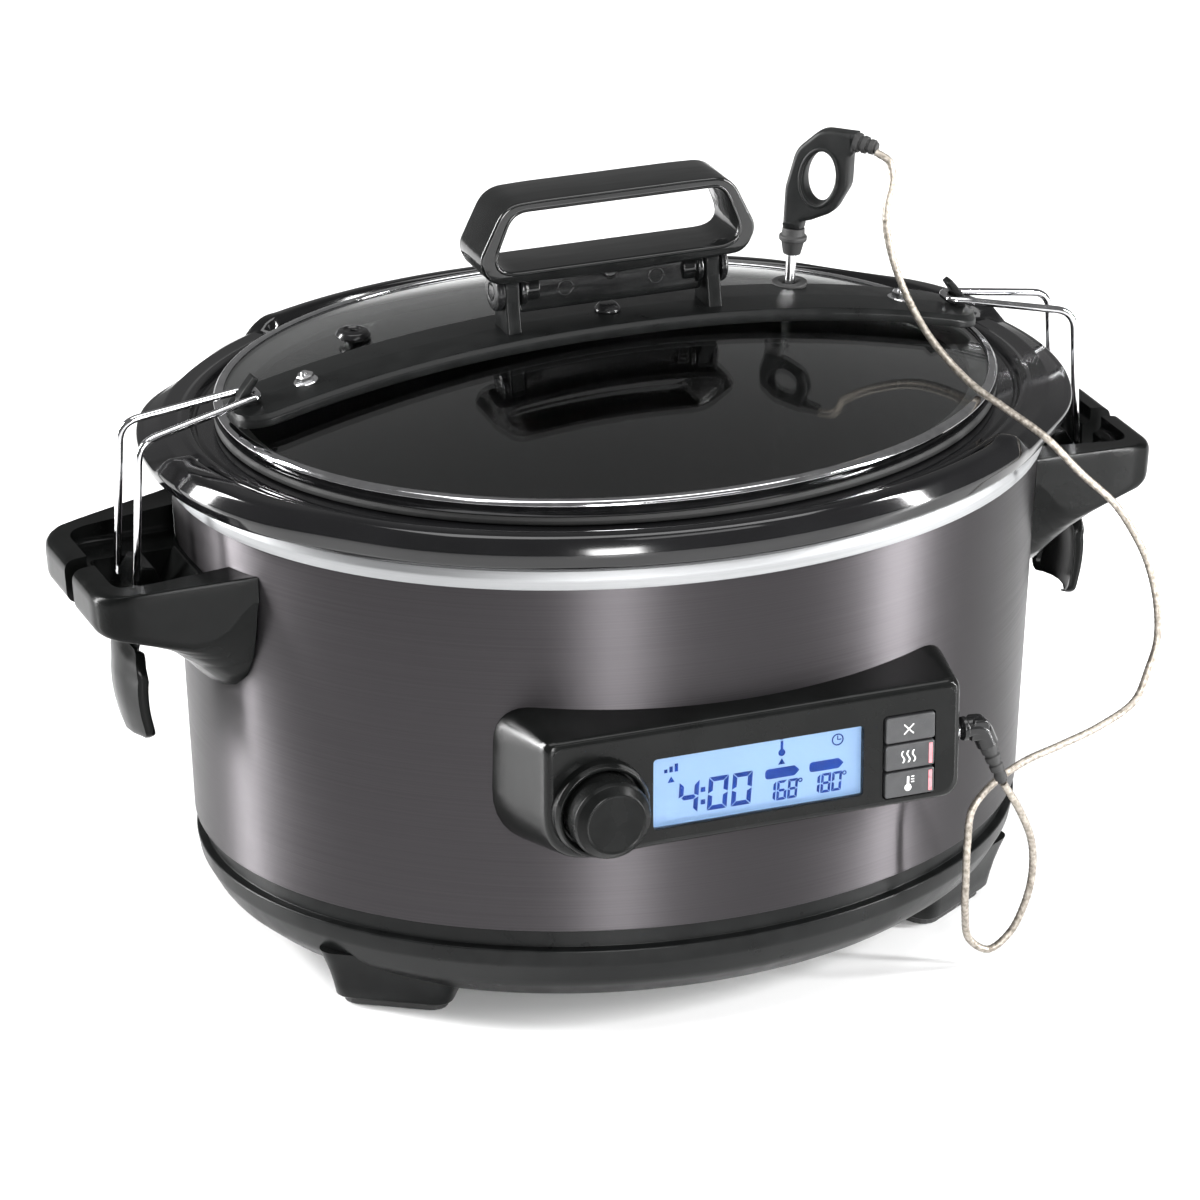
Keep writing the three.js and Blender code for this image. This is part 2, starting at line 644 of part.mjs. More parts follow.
function makeLever(label, side) {
  const { x, z, pin, headHalfY, shankHalfY, paddleHalfY } = LEVER;
  const head = [
    [x - 5, z - 4],
    [x + 4, z - 4],
    [x + 5, z + 8],
    [x + 1, z + 14],
    [x - 4, z + 13],
    [x - 6, z + 7],
  ];
  const shank = [
    [x - 3.5, z - 3],
    [x + 3, z - 3],
    [x + 6, z - 24],
    [x + 1, z - 24],
  ];
  const paddle = [
    [x + 1, z - 22],
    [x + 6, z - 21],
    [x + 8.5, z - 34],
    [x + 4, z - 45],
    [x - 3, z - 54],
    [x - 4.5, z - 52],
    [x + 1.5, z - 43],
    [x + 5, z - 34],
  ];
  const lever = join(
    frontSolid(polygon(head), -headHalfY, headHalfY),
    frontSolid(polygon(shank), -shankHalfY, shankHalfY),
    frontSolid(polygon(paddle), -paddleHalfY, paddleHalfY),
  );
  const bore = rod([x, -headHalfY - 1, z], [x, headHalfY + 1, z], pin + GAP);
  addPiece(`latch_lever_${label}`, mirrored(cut(lever, bore), side), "blackPlastic");
}

function makeBail(label, side) {
  const { radius, bendX, bendZ, endX, endZ, halfY, loopX, loopY } = WIRE;
  const leg = (y, ySmall) => [
    [endX, y, endZ],
    [bendX, y, bendZ],
    [loopX + 6, ySmall, HOOK.z],
    [loopX, ySmall * 0.9, HOOK.z + 0.6],
  ];
  const route = [...leg(-halfY, -loopY), ...leg(halfY, loopY).reverse()];
  const wire = swept(bentPath(route, 2.9), radius, 6, 44);
  addPiece(`bail_${label}`, mirrored(wire, side), "chrome");
}

// ---- control panel ----------------------------------------------------------------------------
// The panel's outline, grown by a margin: a rounded bar with a round bulge under the knob.
function panelSolid(margin, front, back, flare) {
  const { midX, midZ, halfX, halfZ, corner } = PANEL;
  const bar = roundedRect(
    midX - halfX - margin,
    midZ - halfZ - margin,
    midX + halfX + margin,
    midZ + halfZ + margin,
    corner,
  );
  const outline = join(
    frontSolid(bar, front, back),
    rod([KNOB.x, front, KNOB.z], [KNOB.x, back, KNOB.z], KNOB.bulge + margin, ROUND_SIDES),
  );
  return outline.warp((v) => {
    const share = Math.max(0, (v[1] - front) / (back - front));
    v[0] = midX + (v[0] - midX) * (1 + flare * share);
    v[2] = midZ + (v[2] - midZ) * (1 + 2 * flare * share);
  });
}

function keyBoxes(margin, front, back) {
  return [1, 0, -1].map((row) => {
    const z = KEYS.midZ + row * KEYS.pitch;
    const halfX = KEYS.width / 2 + margin;
    const halfZ = KEYS.height / 2 + margin;
    const outline = roundedRect(KEYS.x - halfX, z - halfZ, KEYS.x + halfX, z + halfZ, 1.2);
    return frontSolid(outline, front, back);
  });
}

function makePanel(room) {
  const { front, wall, back } = PANEL;
  const flare = 0.13;
  const collar = rod([KNOB.x, front - 3.5, KNOB.z], [KNOB.x, front + 1, KNOB.z], KNOB.collar, ROUND_SIDES);
  const { halfX, halfZ, midZ } = SCREEN;
  const glassOutline = (inset) =>
    roundedRect(inset - halfX, midZ - halfZ + inset, halfX - inset, midZ + halfZ - inset, 1.5);
  const screen = frontSolid(glassOutline(0), front - 2, front + 5);
  const bezel = cut(
    join(panelSolid(0, front, back, flare), collar),
    panelSolid(-wall, front + wall, back + 5, flare),
    room,
    screen,
    ...keyBoxes(0.4, front - 2, front + 6),
    rod([KNOB.x, front - 6, KNOB.z], [KNOB.x, front + 6, KNOB.z], 3.6),
    rod([JACK.x0 - 3, PLUG.y, PLUG.z], [PLUG.x + 9, PLUG.y, PLUG.z], JACK.radius + GAP),
  );
  addPiece("control_bezel", largest(bezel), "glossPlastic");

  addPiece("lcd_lens", frontSolid(glassOutline(GAP), front + 0.6, front + 2), "glass");
  const panelFront = front + wall + GAP;
  const [displayX, displayZ] = [halfX + 2, halfZ + 2];
  const display = box(-displayX, panelFront, midZ - displayZ, displayX, panelFront + 2, midZ + displayZ);
  addPiece("lcd_panel", display, "display");
  const board = { x0: -50, x1: 74, low: 91, high: 128, front: panelFront + 2.6, thick: 1.4 };
  const boardBack = board.front + board.thick;
  addPiece("control_board", box(board.x0, board.front, board.low, board.x1, boardBack, board.high), "board");
  keyBoxes(0, front - KEYS.proud, front + 4.4).forEach((key, i) => {
    addPiece(`key_${["upper", "middle", "lower"][i]}`, key, "blackPlastic");
  });

  const shaftBack = front + wall + 1.2;
  const encoderShaft = rod([KNOB.x, KNOB.front + 4, KNOB.z], [KNOB.x, shaftBack, KNOB.z], 3);
  addPiece("encoder_shaft", encoderShaft, "aluminium");
  const encoder = shaftBack + GAP;
  const half = 6.5;
  const [x, z] = [KNOB.x, KNOB.z];
  const encoderBody = box(x - half, encoder, z - half, x + half, encoder + 6, z + half);
  addPiece("rotary_encoder", encoderBody, "satinSteel");
  const cap = join(
    rod([x, KNOB.front + 1.5, z], [x, KNOB.back, z], KNOB.radius, 24),
    rod([x, KNOB.front, z], [x, KNOB.front + 1.5, z], KNOB.radius - 1.5, 24, KNOB.radius),
  );
  const bore = rod([x, KNOB.front + 3.5, z], [x, KNOB.back + 1, z], 3 + GAP);
  addPiece("knob", cut(cap, bore), "blackPlastic");

  const { x0, x1, radius, bore: jackBore } = JACK;
  const jack = rod([x0, PLUG.y, PLUG.z], [x1, PLUG.y, PLUG.z], radius);
  const socket = rod([x0 - 1, PLUG.y, PLUG.z], [x1 + 1, PLUG.y, PLUG.z], jackBore, 8);
  addPiece("probe_jack", cut(jack, socket), "satinSteel");
}

// ---- temperature probe ------------------------------------------------------------------------
// Places a solid drawn upright at the origin on the probe's tilted axis, where it enters the bar.
function tiltedProbe(shape) {
  return shape.rotate([0, PROBE.tilt, 0]).translate([PROBE.x, PROBE.y, barTopZ(PROBE.x)]);
}

function makeProbe() {
  const { shaft, tipBelow, collarUp, gripUp, topUp, turn } = PROBE;
  const stem = join(
    rod([0, 0, -tipBelow + 5], [0, 0, collarUp + 2], shaft, 12),
    rod([0, 0, -tipBelow], [0, 0, -tipBelow + 5], 0.6, 12, shaft),
  );
  addPiece("probe_shaft", tiltedProbe(stem), "satinSteel");

  const bore = rod([0, 0, -1], [0, 0, collarUp + 2 + GAP], shaft + GAP, 12);
  const collar = join(
    rod([0, 0, collarUp - 5], [0, 0, collarUp], 3.6, SMALL_SIDES, 4.6),
    rod([0, 0, collarUp], [0, 0, gripUp - GAP], 5.4, SMALL_SIDES, 4.2),
  );
  addPiece("probe_boot", tiltedProbe(cut(collar, bore)), "rubber");

  const outline = new THREE.Shape();
  outline.moveTo(-4, gripUp);
  outline.lineTo(-4.5, gripUp + 12);
  outline.quadraticCurveTo(-5, topUp - 14, 4, topUp - 4);
  outline.quadraticCurveTo(8, topUp, 14, topUp);
  outline.lineTo(22, topUp);
  outline.lineTo(22, topUp - 8);
  outline.lineTo(19.5, topUp - 9);
  outline.quadraticCurveTo(19, topUp - 33, 8, topUp - 38);
  outline.lineTo(4.5, topUp - 38.8);
  outline.lineTo(4, gripUp);
  const hole = new THREE.Shape();
  hole.absellipse(7.5, topUp - 20, 7, 10.5, 0, 2 * Math.PI);
  const grip = cut(frontSolid(outline, -4.5, 4.5, 4), frontSolid(hole, -6, 6, 8));
  addPiece("probe_handle", tiltedProbe(grip.rotate([0, 0, turn])), "blackPlastic");
  const relief = cut(
    rod([22.8, 0, topUp - 4], [31.5, 0, topUp - 5], 3.8, SMALL_SIDES, 2.4),
    rod([22, 0, topUp - 4], [36, 0, topUp - 5.5], CABLE_RADIUS + GAP, 8),
  );
  addPiece("probe_relief", tiltedProbe(relief.rotate([0, 0, turn])), "rubber");
}

function makeCable() {
  const points = CABLE_ROUTE.map((p) => new THREE.Vector3(...p));
  const route = new THREE.CatmullRomCurve3(points, false, "centripetal");
  addPiece("probe_cable", swept(route, CABLE_RADIUS, 8, 76), "braid");
  const { x, y, z, radius } = PLUG;
  const elbow = { x: x + 8.5, drop: 5 };
  const body = join(
    rod([x, y, z], [elbow.x + 1, y, z], radius),
    rod([elbow.x, y, z + radius], [elbow.x + elbow.drop / 2, y, z - elbow.drop - 3], radius),
  );
  addPiece("plug_body", body, "blackPlastic");
  const reliefTop = [elbow.x + 3.2, y - 0.2, z - elbow.drop - 4.7];
  const last = CABLE_ROUTE[CABLE_ROUTE.length - 1];
  const relief = rod(reliefTop, [last[0] - 0.35, last[1] + 0.1, last[2] + 0.7], 3.4, SMALL_SIDES, 2.2);
  addPiece("plug_relief", relief, "rubber");
}

// ---- assembly ---------------------------------------------------------------------------------
const room = shellRoom();
makePan();
makeShell();
makeHeating();
makeCrock();
makeGlass();
makeBar();
makeLidFasteners();
makeLidHandle();
for (const [label, side] of SIDES_OF_COOKER) {
  makeSideHandle(label, side, room);
  makeLever(label, side);
  makeBail(label, side);
}
makePanel(room);
makeProbe();
makeCable();

export default cooker;
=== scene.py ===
"""A slow cooker's looks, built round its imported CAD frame.

Everything is in metres in the frame's own axes: +Z up, the front faces -Y. Outlines and profiles are
written in millimetres inside mm(), which scales them. The cooker is an oval about the upright axis
AXIS, so most bodies are lofts of oval rows. Each piece says which CAD node it stands for.
"""

import math

import bmesh
import bpy
from mathutils import Matrix, Vector


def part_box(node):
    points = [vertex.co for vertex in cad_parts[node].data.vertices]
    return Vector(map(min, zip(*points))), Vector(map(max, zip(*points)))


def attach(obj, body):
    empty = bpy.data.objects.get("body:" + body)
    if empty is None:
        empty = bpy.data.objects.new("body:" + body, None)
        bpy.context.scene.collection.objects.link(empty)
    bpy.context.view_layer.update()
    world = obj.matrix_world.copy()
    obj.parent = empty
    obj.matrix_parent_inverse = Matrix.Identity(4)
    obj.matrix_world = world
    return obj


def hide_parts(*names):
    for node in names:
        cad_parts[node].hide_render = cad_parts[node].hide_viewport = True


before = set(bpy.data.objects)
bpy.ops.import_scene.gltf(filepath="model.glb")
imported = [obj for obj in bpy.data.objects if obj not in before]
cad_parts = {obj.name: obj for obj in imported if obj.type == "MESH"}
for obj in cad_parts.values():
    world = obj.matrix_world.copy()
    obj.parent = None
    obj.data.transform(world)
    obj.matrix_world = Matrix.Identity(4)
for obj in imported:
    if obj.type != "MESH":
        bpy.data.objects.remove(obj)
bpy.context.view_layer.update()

MM = 0.001
TAU = 2 * math.pi
ring_low, ring_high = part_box("rim_ring")
AXIS = (ring_low + ring_high) / 2  # the oval's upright axis passes through here
SIDES = (("left", -1), ("right", 1))


def mm(*points):
    """Tuples in millimetres as tuples in metres."""
    return [tuple(v * MM for v in p) for p in points]


def middle(node):
    """The middle of a CAD node's box."""
    low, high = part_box(node)
    return (low + high) / 2


def mix(a, b, t):
    return a + (b - a) * t


def turns(count):
    """Angles evenly spaced round a full turn."""
    return [TAU * i / count for i in range(count)]


def put(node, **values):
    """Sets a shader node's constant sockets by name."""
    for socket, value in values.items():
        node.inputs[socket.replace("_", " ")].default_value = value


# ---- camera and light ---------------------------------------------------------------------------
AZIMUTH, ELEVATION = math.radians(-21.77), math.radians(22.74)
DISTANCE = 2.5245
TARGET = Vector((AXIS.x, AXIS.y, 0.120))
LENS, SENSOR = 195.04, 36  # millimetres
SHIFT_X, SHIFT_Y = -0.0062, 0.0009
WORLD_LIGHT = 0.26


def make_camera():
    level = math.cos(ELEVATION)
    back = Vector((math.sin(AZIMUTH) * level, -math.cos(AZIMUTH) * level, math.sin(ELEVATION)))
    data = bpy.data.cameras.new("camera")
    data.lens = LENS
    data.sensor_width = SENSOR
    data.shift_x, data.shift_y = SHIFT_X, SHIFT_Y
    camera = bpy.data.objects.new("camera", data)
    camera.location = TARGET + back * DISTANCE
    camera.rotation_euler = back.to_track_quat("Z", "Y").to_euler()
    bpy.context.scene.collection.objects.link(camera)
    bpy.context.scene.camera = camera


def make_light(name, place, size, energy):
    """A soft rectangular light at place that looks at the cooker."""
    data = bpy.data.lights.new(name, "AREA")
    data.shape = "RECTANGLE"
    data.size, data.size_y = size
    data.energy = energy
    lamp = bpy.data.objects.new(name, data)
    lamp.location = place
    lamp.rotation_euler = (Vector(place) - TARGET).to_track_quat("Z", "Y").to_euler()
    bpy.context.scene.collection.objects.link(lamp)


def make_studio():
    make_light("top_softbox", (0.0, -0.35, 2.3), (2.4, 1.1), 44)
    make_light("left_strip", (-1.74, 1.00, 0.75), (0.30, 1.6), 122)
    make_light("right_strip", (1.76, -1.12, 0.75), (0.14, 1.5), 96)
    make_light("front_strip", (-0.35, -2.3, 0.66), (0.44, 1.0), 54)
    make_light("front_fill", (0.6, -2.8, 2.6), (1.6, 0.8), 14)
    bpy.context.scene.view_settings.view_transform = "Standard"
    world = bpy.data.worlds.new("studio")
    world.use_nodes = True
    background = world.node_tree.nodes["Background"]
    put(background, Color=(1, 1, 1, 1), Strength=WORLD_LIGHT)
    bpy.context.scene.world = world


make_camera()

# ---- meshes -------------------------------------------------------------------------------------
SHARP = math.radians(38)


def mesh_object(name, points, faces, sharp=SHARP):
    """A mesh with shared corners, outward faces and smooth shading between its sharp edges."""
    data = bpy.data.meshes.new(name)
    data.from_pydata([tuple(p) for p in points], [], faces)
    bm = bmesh.new()
    bm.from_mesh(data)
    bmesh.ops.remove_doubles(bm, verts=bm.verts, dist=1e-6)
    bmesh.ops.dissolve_degenerate(bm, edges=bm.edges, dist=1e-7)
    bmesh.ops.recalc_face_normals(bm, faces=bm.faces)
    bm.to_mesh(data)
    bm.free()
    for face in data.polygons:
        face.use_smooth = True
    data.set_sharp_from_angle(angle=sharp)
    made = bpy.data.objects.new(name, data)
    bpy.context.scene.collection.objects.link(made)
    return made


def merge(name, *objects):
    """Several mesh objects as one."""
    points, faces = [], []
    for o in objects:
        start = len(points)
        points += [o.matrix_world @ v.co for v in o.data.vertices]
        faces += [[start + i for i in face.vertices] for face in o.data.polygons]
        bpy.data.objects.remove(o)
    return mesh_object(name, points, faces)


def flat_normals(made):
    """Keeps large flat faces flat beside rounded edges."""
    modifier = made.modifiers.new("flat", "WEIGHTED_NORMAL")
    modifier.keep_sharp = True
    modifier.weight = 60
    return made


def fillet(points, steps=4, closed=True):
    """The outline through points of (x, y, corner radius), with its corners rounded."""
    made = []
    count = len(points)
    for i, (x, y, radius) in enumerate(points):
        here = Vector((x, y))
        ends = not closed and i in (0, count - 1)
        if radius <= 0 or ends:
            made.append((x, y))
            continue
        before = Vector(points[i - 1][:2]) - here
        after = Vector(points[(i + 1) % count][:2]) - here
        turn = before.angle(after)
        reach = radius / max(math.tan(turn / 2), 1e-3)
        reach = min(reach, 0.49 * before.length, 0.49 * after.length)
        start, end = here + before.normalized() * reach, here + after.normalized() * reach
        for k in range(steps + 1):
            t = k / steps
            p = start * (1 - t) ** 2 + here * 2 * t * (1 - t) + end * t * t
            made.append((p.x, p.y))
    return made


def rounded_box(low, high, radius, steps=4):
    """The outline of a rectangle between two corners, with its corners rounded."""
    (x0, y0), (x1, y1) = low, high
    return fillet([(x0, y0, radius), (x1, y0, radius), (x1, y1, radius), (x0, y1, radius)], steps)


def front_box(low, high, grow, radius, steps=4):
    """The rounded outline of a box seen from the front, grown outwards."""
    return rounded_box((low.x - grow, low.z - grow), (high.x + grow, high.z + grow), radius, steps)


def skin(name, rows, wrap=True, sharp=SHARP):
    """Quads over rows of equal length that each go right round. With wrap the last row meets the first,
    and without it the first and last rows are closed with a face."""
    n = len(rows[0])
    points = [p for row in rows for p in row]
    faces = []
    for r in range(len(rows) if wrap else len(rows) - 1):
        low, high = r * n, ((r + 1) % len(rows)) * n
        for i in range(n):
            j = (i + 1) % n
            faces.append((low + i, low + j, high + j, high + i))
    if not wrap:
        faces.append(tuple(range(n)))
        faces.append(tuple(range((len(rows) - 1) * n, len(rows) * n)))
    return mesh_object(name, points, faces, sharp)


def oval(name, profile, narrower, sides=200, sharp=SHARP):
    """A loft of oval rows round AXIS. The profile is points of (half X, Z), and narrower(half X) is how
    much less the half Y is. A profile that starts and ends at half X = 0 closes on the axis."""
    rows = []
    for a, z in profile:
        b = max(a - narrower(a), 0)
        rows.append([(AXIS.x + a * math.cos(t), AXIS.y + b * math.sin(t), z) for t in turns(sides)])
    return skin(name, rows, wrap=True, sharp=sharp)


def lathe(name, profile, centre, axis=(0, 0, 1), sides=48, sharp=SHARP):
    """A round body: a profile of (radius, height) turned about an axis through centre."""
    turn = Vector((0, 0, 1)).rotation_difference(Vector(axis)).to_matrix()
    rows = []
    for radius, height in profile:
        row = [Vector((radius * math.cos(t), radius * math.sin(t), height)) for t in turns(sides)]
        rows.append([Vector(centre) + turn @ p for p in row])
    return skin(name, rows, wrap=True, sharp=sharp)


def turned(name, profile, centre, axis=(0, 0, 1), sides=48, steps=3, closed=False, sharp=SHARP):
    """A round body whose profile is points of (radius, height, fillet) in millimetres."""
    return lathe(name, fillet(mm(*profile), steps, closed), centre, axis, sides, sharp)


PLANES = {"XZ": lambda u, v, w: (u, w, v), "XY": lambda u, v, w: (u, v, w), "YZ": lambda u, v, w: (w, u, v)}


def plate(name, outlines, low, high, bevel, plane="XZ", steps=3):
    """A flat body with rounded edges: the first outline is its edge and the others are holes in it. It
    reaches from low to high along the axis that its plane leaves out."""
    curve = bpy.data.curves.new(name, "CURVE")
    curve.dimensions = "2D"
    curve.fill_mode = "BOTH"
    curve.extrude = (high - low) / 2 - bevel
    curve.bevel_depth = bevel
    curve.bevel_resolution = steps
    curve.offset = -bevel
    for outline in outlines:
        spline = curve.splines.new("POLY")
        spline.points.add(len(outline) - 1)
        for point, (u, v) in zip(spline.points, outline):
            point.co = (u, v, 0, 1)
        spline.use_cyclic_u = True
    holder = bpy.data.objects.new(name, curve)
    bpy.context.scene.collection.objects.link(holder)
    bpy.context.view_layer.update()
    evaluated = holder.evaluated_get(bpy.context.evaluated_depsgraph_get())
    flat = bpy.data.meshes.new_from_object(evaluated)
    centre = (low + high) / 2
    points = [PLANES[plane](v.co.x, v.co.y, v.co.z + centre) for v in flat.vertices]
    faces = [tuple(face.vertices) for face in flat.polygons]
    bpy.data.objects.remove(holder)
    bpy.data.curves.remove(curve)
    bpy.data.meshes.remove(flat)
    return flat_normals(mesh_object(name, points, faces))


def tube(name, path, radius, sides=20, taper=None, sharp=SHARP):
    """A round bar along a path of points. taper(share, angle) scales its radius."""
    path = [Vector(p) for p in path]
    lengths = [0.0]
    for a, b in zip(path, path[1:]):
        lengths.append(lengths[-1] + (b - a).length)
    way = (path[1] - path[0]).normalized()
    across = way.orthogonal().normalized()
    rows = []
    for k, p in enumerate(path):
        after = path[min(k + 1, len(path) - 1)] - path[max(k - 1, 0)]
        across = (Vector(way).rotation_difference(after) @ across).normalized()
        way = after.normalized()
        up = way.cross(across)
        row = []
        for angle in turns(sides):
            r = radius * (taper(lengths[k] / lengths[-1], angle) if taper else 1)
            row.append(p + across * r * math.cos(angle) + up * r * math.sin(angle))
        rows.append(row)
    return skin(name, rows, wrap=False, sharp=sharp)


def rounded_path(points, radius, steps=8):
    """Straight runs between points, joined by rounded corners."""
    points = [Vector(p) for p in points]
    made = [points[0]]
    for before, here, after in zip(points, points[1:], points[2:]):
        reach = min(radius, 0.49 * (before - here).length, 0.49 * (after - here).length)
        start = here + (before - here).normalized() * reach
        end = here + (after - here).normalized() * reach
        for k in range(steps + 1):
            t = k / steps
            made.append(start * (1 - t) ** 2 + here * 2 * t * (1 - t) + end * t * t)
    made.append(points[-1])
    return made


def mirror_x(made):
    """Turns a mesh into its mirror image in X."""
    for v in made.data.vertices:
        v.co.x = -v.co.x
    made.data.flip_normals()
    return made


# ---- materials ----------------------------------------------------------------------------------
NOISE_SPAN = (0.3, 0.7)  # a noise goes from a material's first colour and roughness to its second
BUMP_DEPTH = 0.0002


def material(
    name, dark, light, roughness, metallic=0.0, scale=60.0, stretch=(1, 1, 1), detail=4.0, bump=0.0,
    bump_scale=None, bump_stretch=None, **sockets
):
    """A Principled material whose colour goes between dark and light and its roughness between two values
    with one noise, and whose fine relief comes from another. Other sockets are constants by name."""
    made = bpy.data.materials.new(name)
    made.use_nodes = True
    nodes, links = made.node_tree.nodes, made.node_tree.links
    shader = nodes["Principled BSDF"]
    place = nodes.new("ShaderNodeTexCoord")

    def noise(at_scale, at_stretch, at_detail):
        mapping = nodes.new("ShaderNodeMapping")
        put(mapping, Scale=at_stretch)
        links.new(place.outputs["Object"], mapping.inputs["Vector"])
        made_noise = nodes.new("ShaderNodeTexNoise")
        put(made_noise, Scale=at_scale, Detail=at_detail)
        links.new(mapping.outputs["Vector"], made_noise.inputs["Vector"])
        return made_noise

    tone = noise(scale, stretch, detail)
    ramp = nodes.new("ShaderNodeValToRGB")
    for stop, at, colour in zip(ramp.color_ramp.elements, NOISE_SPAN, (dark, light)):
        stop.position = at
        stop.color = (*colour, 1)
    links.new(tone.outputs["Fac"], ramp.inputs["Fac"])
    links.new(ramp.outputs["Color"], shader.inputs["Base Color"])
    span = nodes.new("ShaderNodeMapRange")
    put(span, From_Min=NOISE_SPAN[0], From_Max=NOISE_SPAN[1], To_Min=roughness[0], To_Max=roughness[1])
    links.new(tone.outputs["Fac"], span.inputs["Value"])
    links.new(span.outputs["Result"], shader.inputs["Roughness"])
    if bump:
        relief = noise(bump_scale or scale, bump_stretch or stretch, 2.0)
        push = nodes.new("ShaderNodeBump")
        put(push, Strength=bump, Distance=BUMP_DEPTH)
        links.new(relief.outputs["Fac"], push.inputs["Height"])
        links.new(push.outputs["Normal"], shader.inputs["Normal"])
    put(shader, Metallic=metallic, **sockets)
    return made


def radial_tangent(made, rotation):
    """Turns a brushed metal's highlights round the upright axis."""
    nodes, links = made.node_tree.nodes, made.node_tree.links
    tangent = nodes.new("ShaderNodeTangent")
    tangent.direction_type = "RADIAL"
    tangent.axis = "Z"
    shader = nodes["Principled BSDF"]
    links.new(tangent.outputs["Tangent"], shader.inputs["Tangent"])
    put(shader, Anisotropic_Rotation=rotation)
    return made


FINISH = {}


def add_finish(name, *values, **sockets):
    FINISH[name] = material(name, *values, **sockets)


add_finish(
    "dark_shell", (0.046, 0.0430, 0.0457), (0.057, 0.0534, 0.0565), (0.40, 0.47), 1.0, scale=7,
    stretch=(1, 1, 330), detail=3, bump=0.12, bump_scale=9, bump_stretch=(1, 1, 420), Anisotropic=0.9
)
add_finish(
    "ring_steel", (0.27, 0.275, 0.28), (0.33, 0.335, 0.34), (0.52, 0.62), 1.0, scale=10, stretch=(1, 1, 160),
    bump=0.1, bump_scale=30, bump_stretch=(1, 1, 120), Anisotropic=0.3
)
add_finish(
    "chrome_wire", (0.42, 0.42, 0.43), (0.52, 0.52, 0.53), (0.06, 0.12), 1.0, scale=180, bump=0.05,
    bump_scale=700
)
add_finish(
    "bright_steel", (0.62, 0.62, 0.63), (0.74, 0.74, 0.75), (0.12, 0.22), 1.0, scale=150, bump=0.08,
    bump_scale=900
)
add_finish(
    "liner_aluminium", (0.50, 0.51, 0.52), (0.64, 0.65, 0.66), (0.38, 0.52), 1.0, scale=14,
    stretch=(1, 1, 60), bump=0.2, bump_scale=40, bump_stretch=(1, 1, 40)
)
add_finish(
    "black_plastic", (0.0040, 0.0043, 0.0043), (0.0066, 0.0070, 0.0070), (0.27, 0.38), scale=110, bump=0.16,
    bump_scale=1500, Specular_IOR_Level=0.12
)
add_finish(
    "gloss_black", (0.006, 0.006, 0.0063), (0.009, 0.009, 0.0094), (0.16, 0.24), scale=70, bump=0.10,
    bump_scale=420, Specular_IOR_Level=0.36
)
add_finish(
    "black_glaze", (0.0030, 0.0030, 0.0033), (0.0055, 0.0055, 0.006), (0.07, 0.12), scale=26, bump=0.06,
    bump_scale=60, Specular_IOR_Level=0.40
)
add_finish(
    "clear_glass", (0.94, 0.97, 0.96), (0.98, 0.99, 0.99), (0.0, 0.015), scale=20, bump=0.02, bump_scale=30,
    Transmission_Weight=1.0, IOR=1.47
)
add_finish(
    "black_rubber", (0.011, 0.011, 0.011), (0.019, 0.019, 0.019), (0.62, 0.78), scale=160, bump=0.5,
    bump_scale=1200
)
add_finish(
    "steel_braid", (0.16, 0.14, 0.115), (0.46, 0.42, 0.37), (0.34, 0.48), 0.7, scale=620, bump=0.5,
    bump_scale=2600
)
add_finish(
    "circuit_board", (0.008, 0.05, 0.022), (0.016, 0.085, 0.038), (0.32, 0.5), scale=300, bump=0.4,
    bump_scale=700
)
add_finish(
    "lit_display", (0.14, 0.24, 0.42), (0.16, 0.27, 0.46), (0.30, 0.40), scale=12, bump=0.05, bump_scale=500,
    Emission_Color=(0.40, 0.60, 0.88, 1), Emission_Strength=0.28
)
for name in ("dark_shell", "ring_steel"):
    radial_tangent(FINISH[name], 0.25)
digit_ink = material(
    "digit_ink", (0.004, 0.026, 0.17), (0.006, 0.034, 0.21), (0.5, 0.6), scale=400, bump=0.05,
    Specular_IOR_Level=0.05
)
window_clear = material(
    "window_clear", (0.97, 0.98, 0.99), (0.99, 1.0, 1.0), (0.0, 0.01), scale=20, bump=0.02, bump_scale=30,
    Transmission_Weight=1.0, IOR=1.14
)
icon_ink = material("icon_ink", (0.62, 0.62, 0.61), (0.74, 0.74, 0.73), (0.4, 0.5), scale=500, bump=0.1)
indicator_red = material(
    "indicator_red", (0.42, 0.13, 0.15), (0.55, 0.20, 0.22), (0.25, 0.35), scale=500, bump=0.1
)


def piece(made, body, nodes, slot, finish=None):
    """Puts the finish on a piece, and says what it rides on and which CAD nodes it stands for."""
    made.data.materials.clear()
    made.data.materials.append(finish or FINISH[slot])
    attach(made, body)
    if nodes:
        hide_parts(*nodes)
    return made


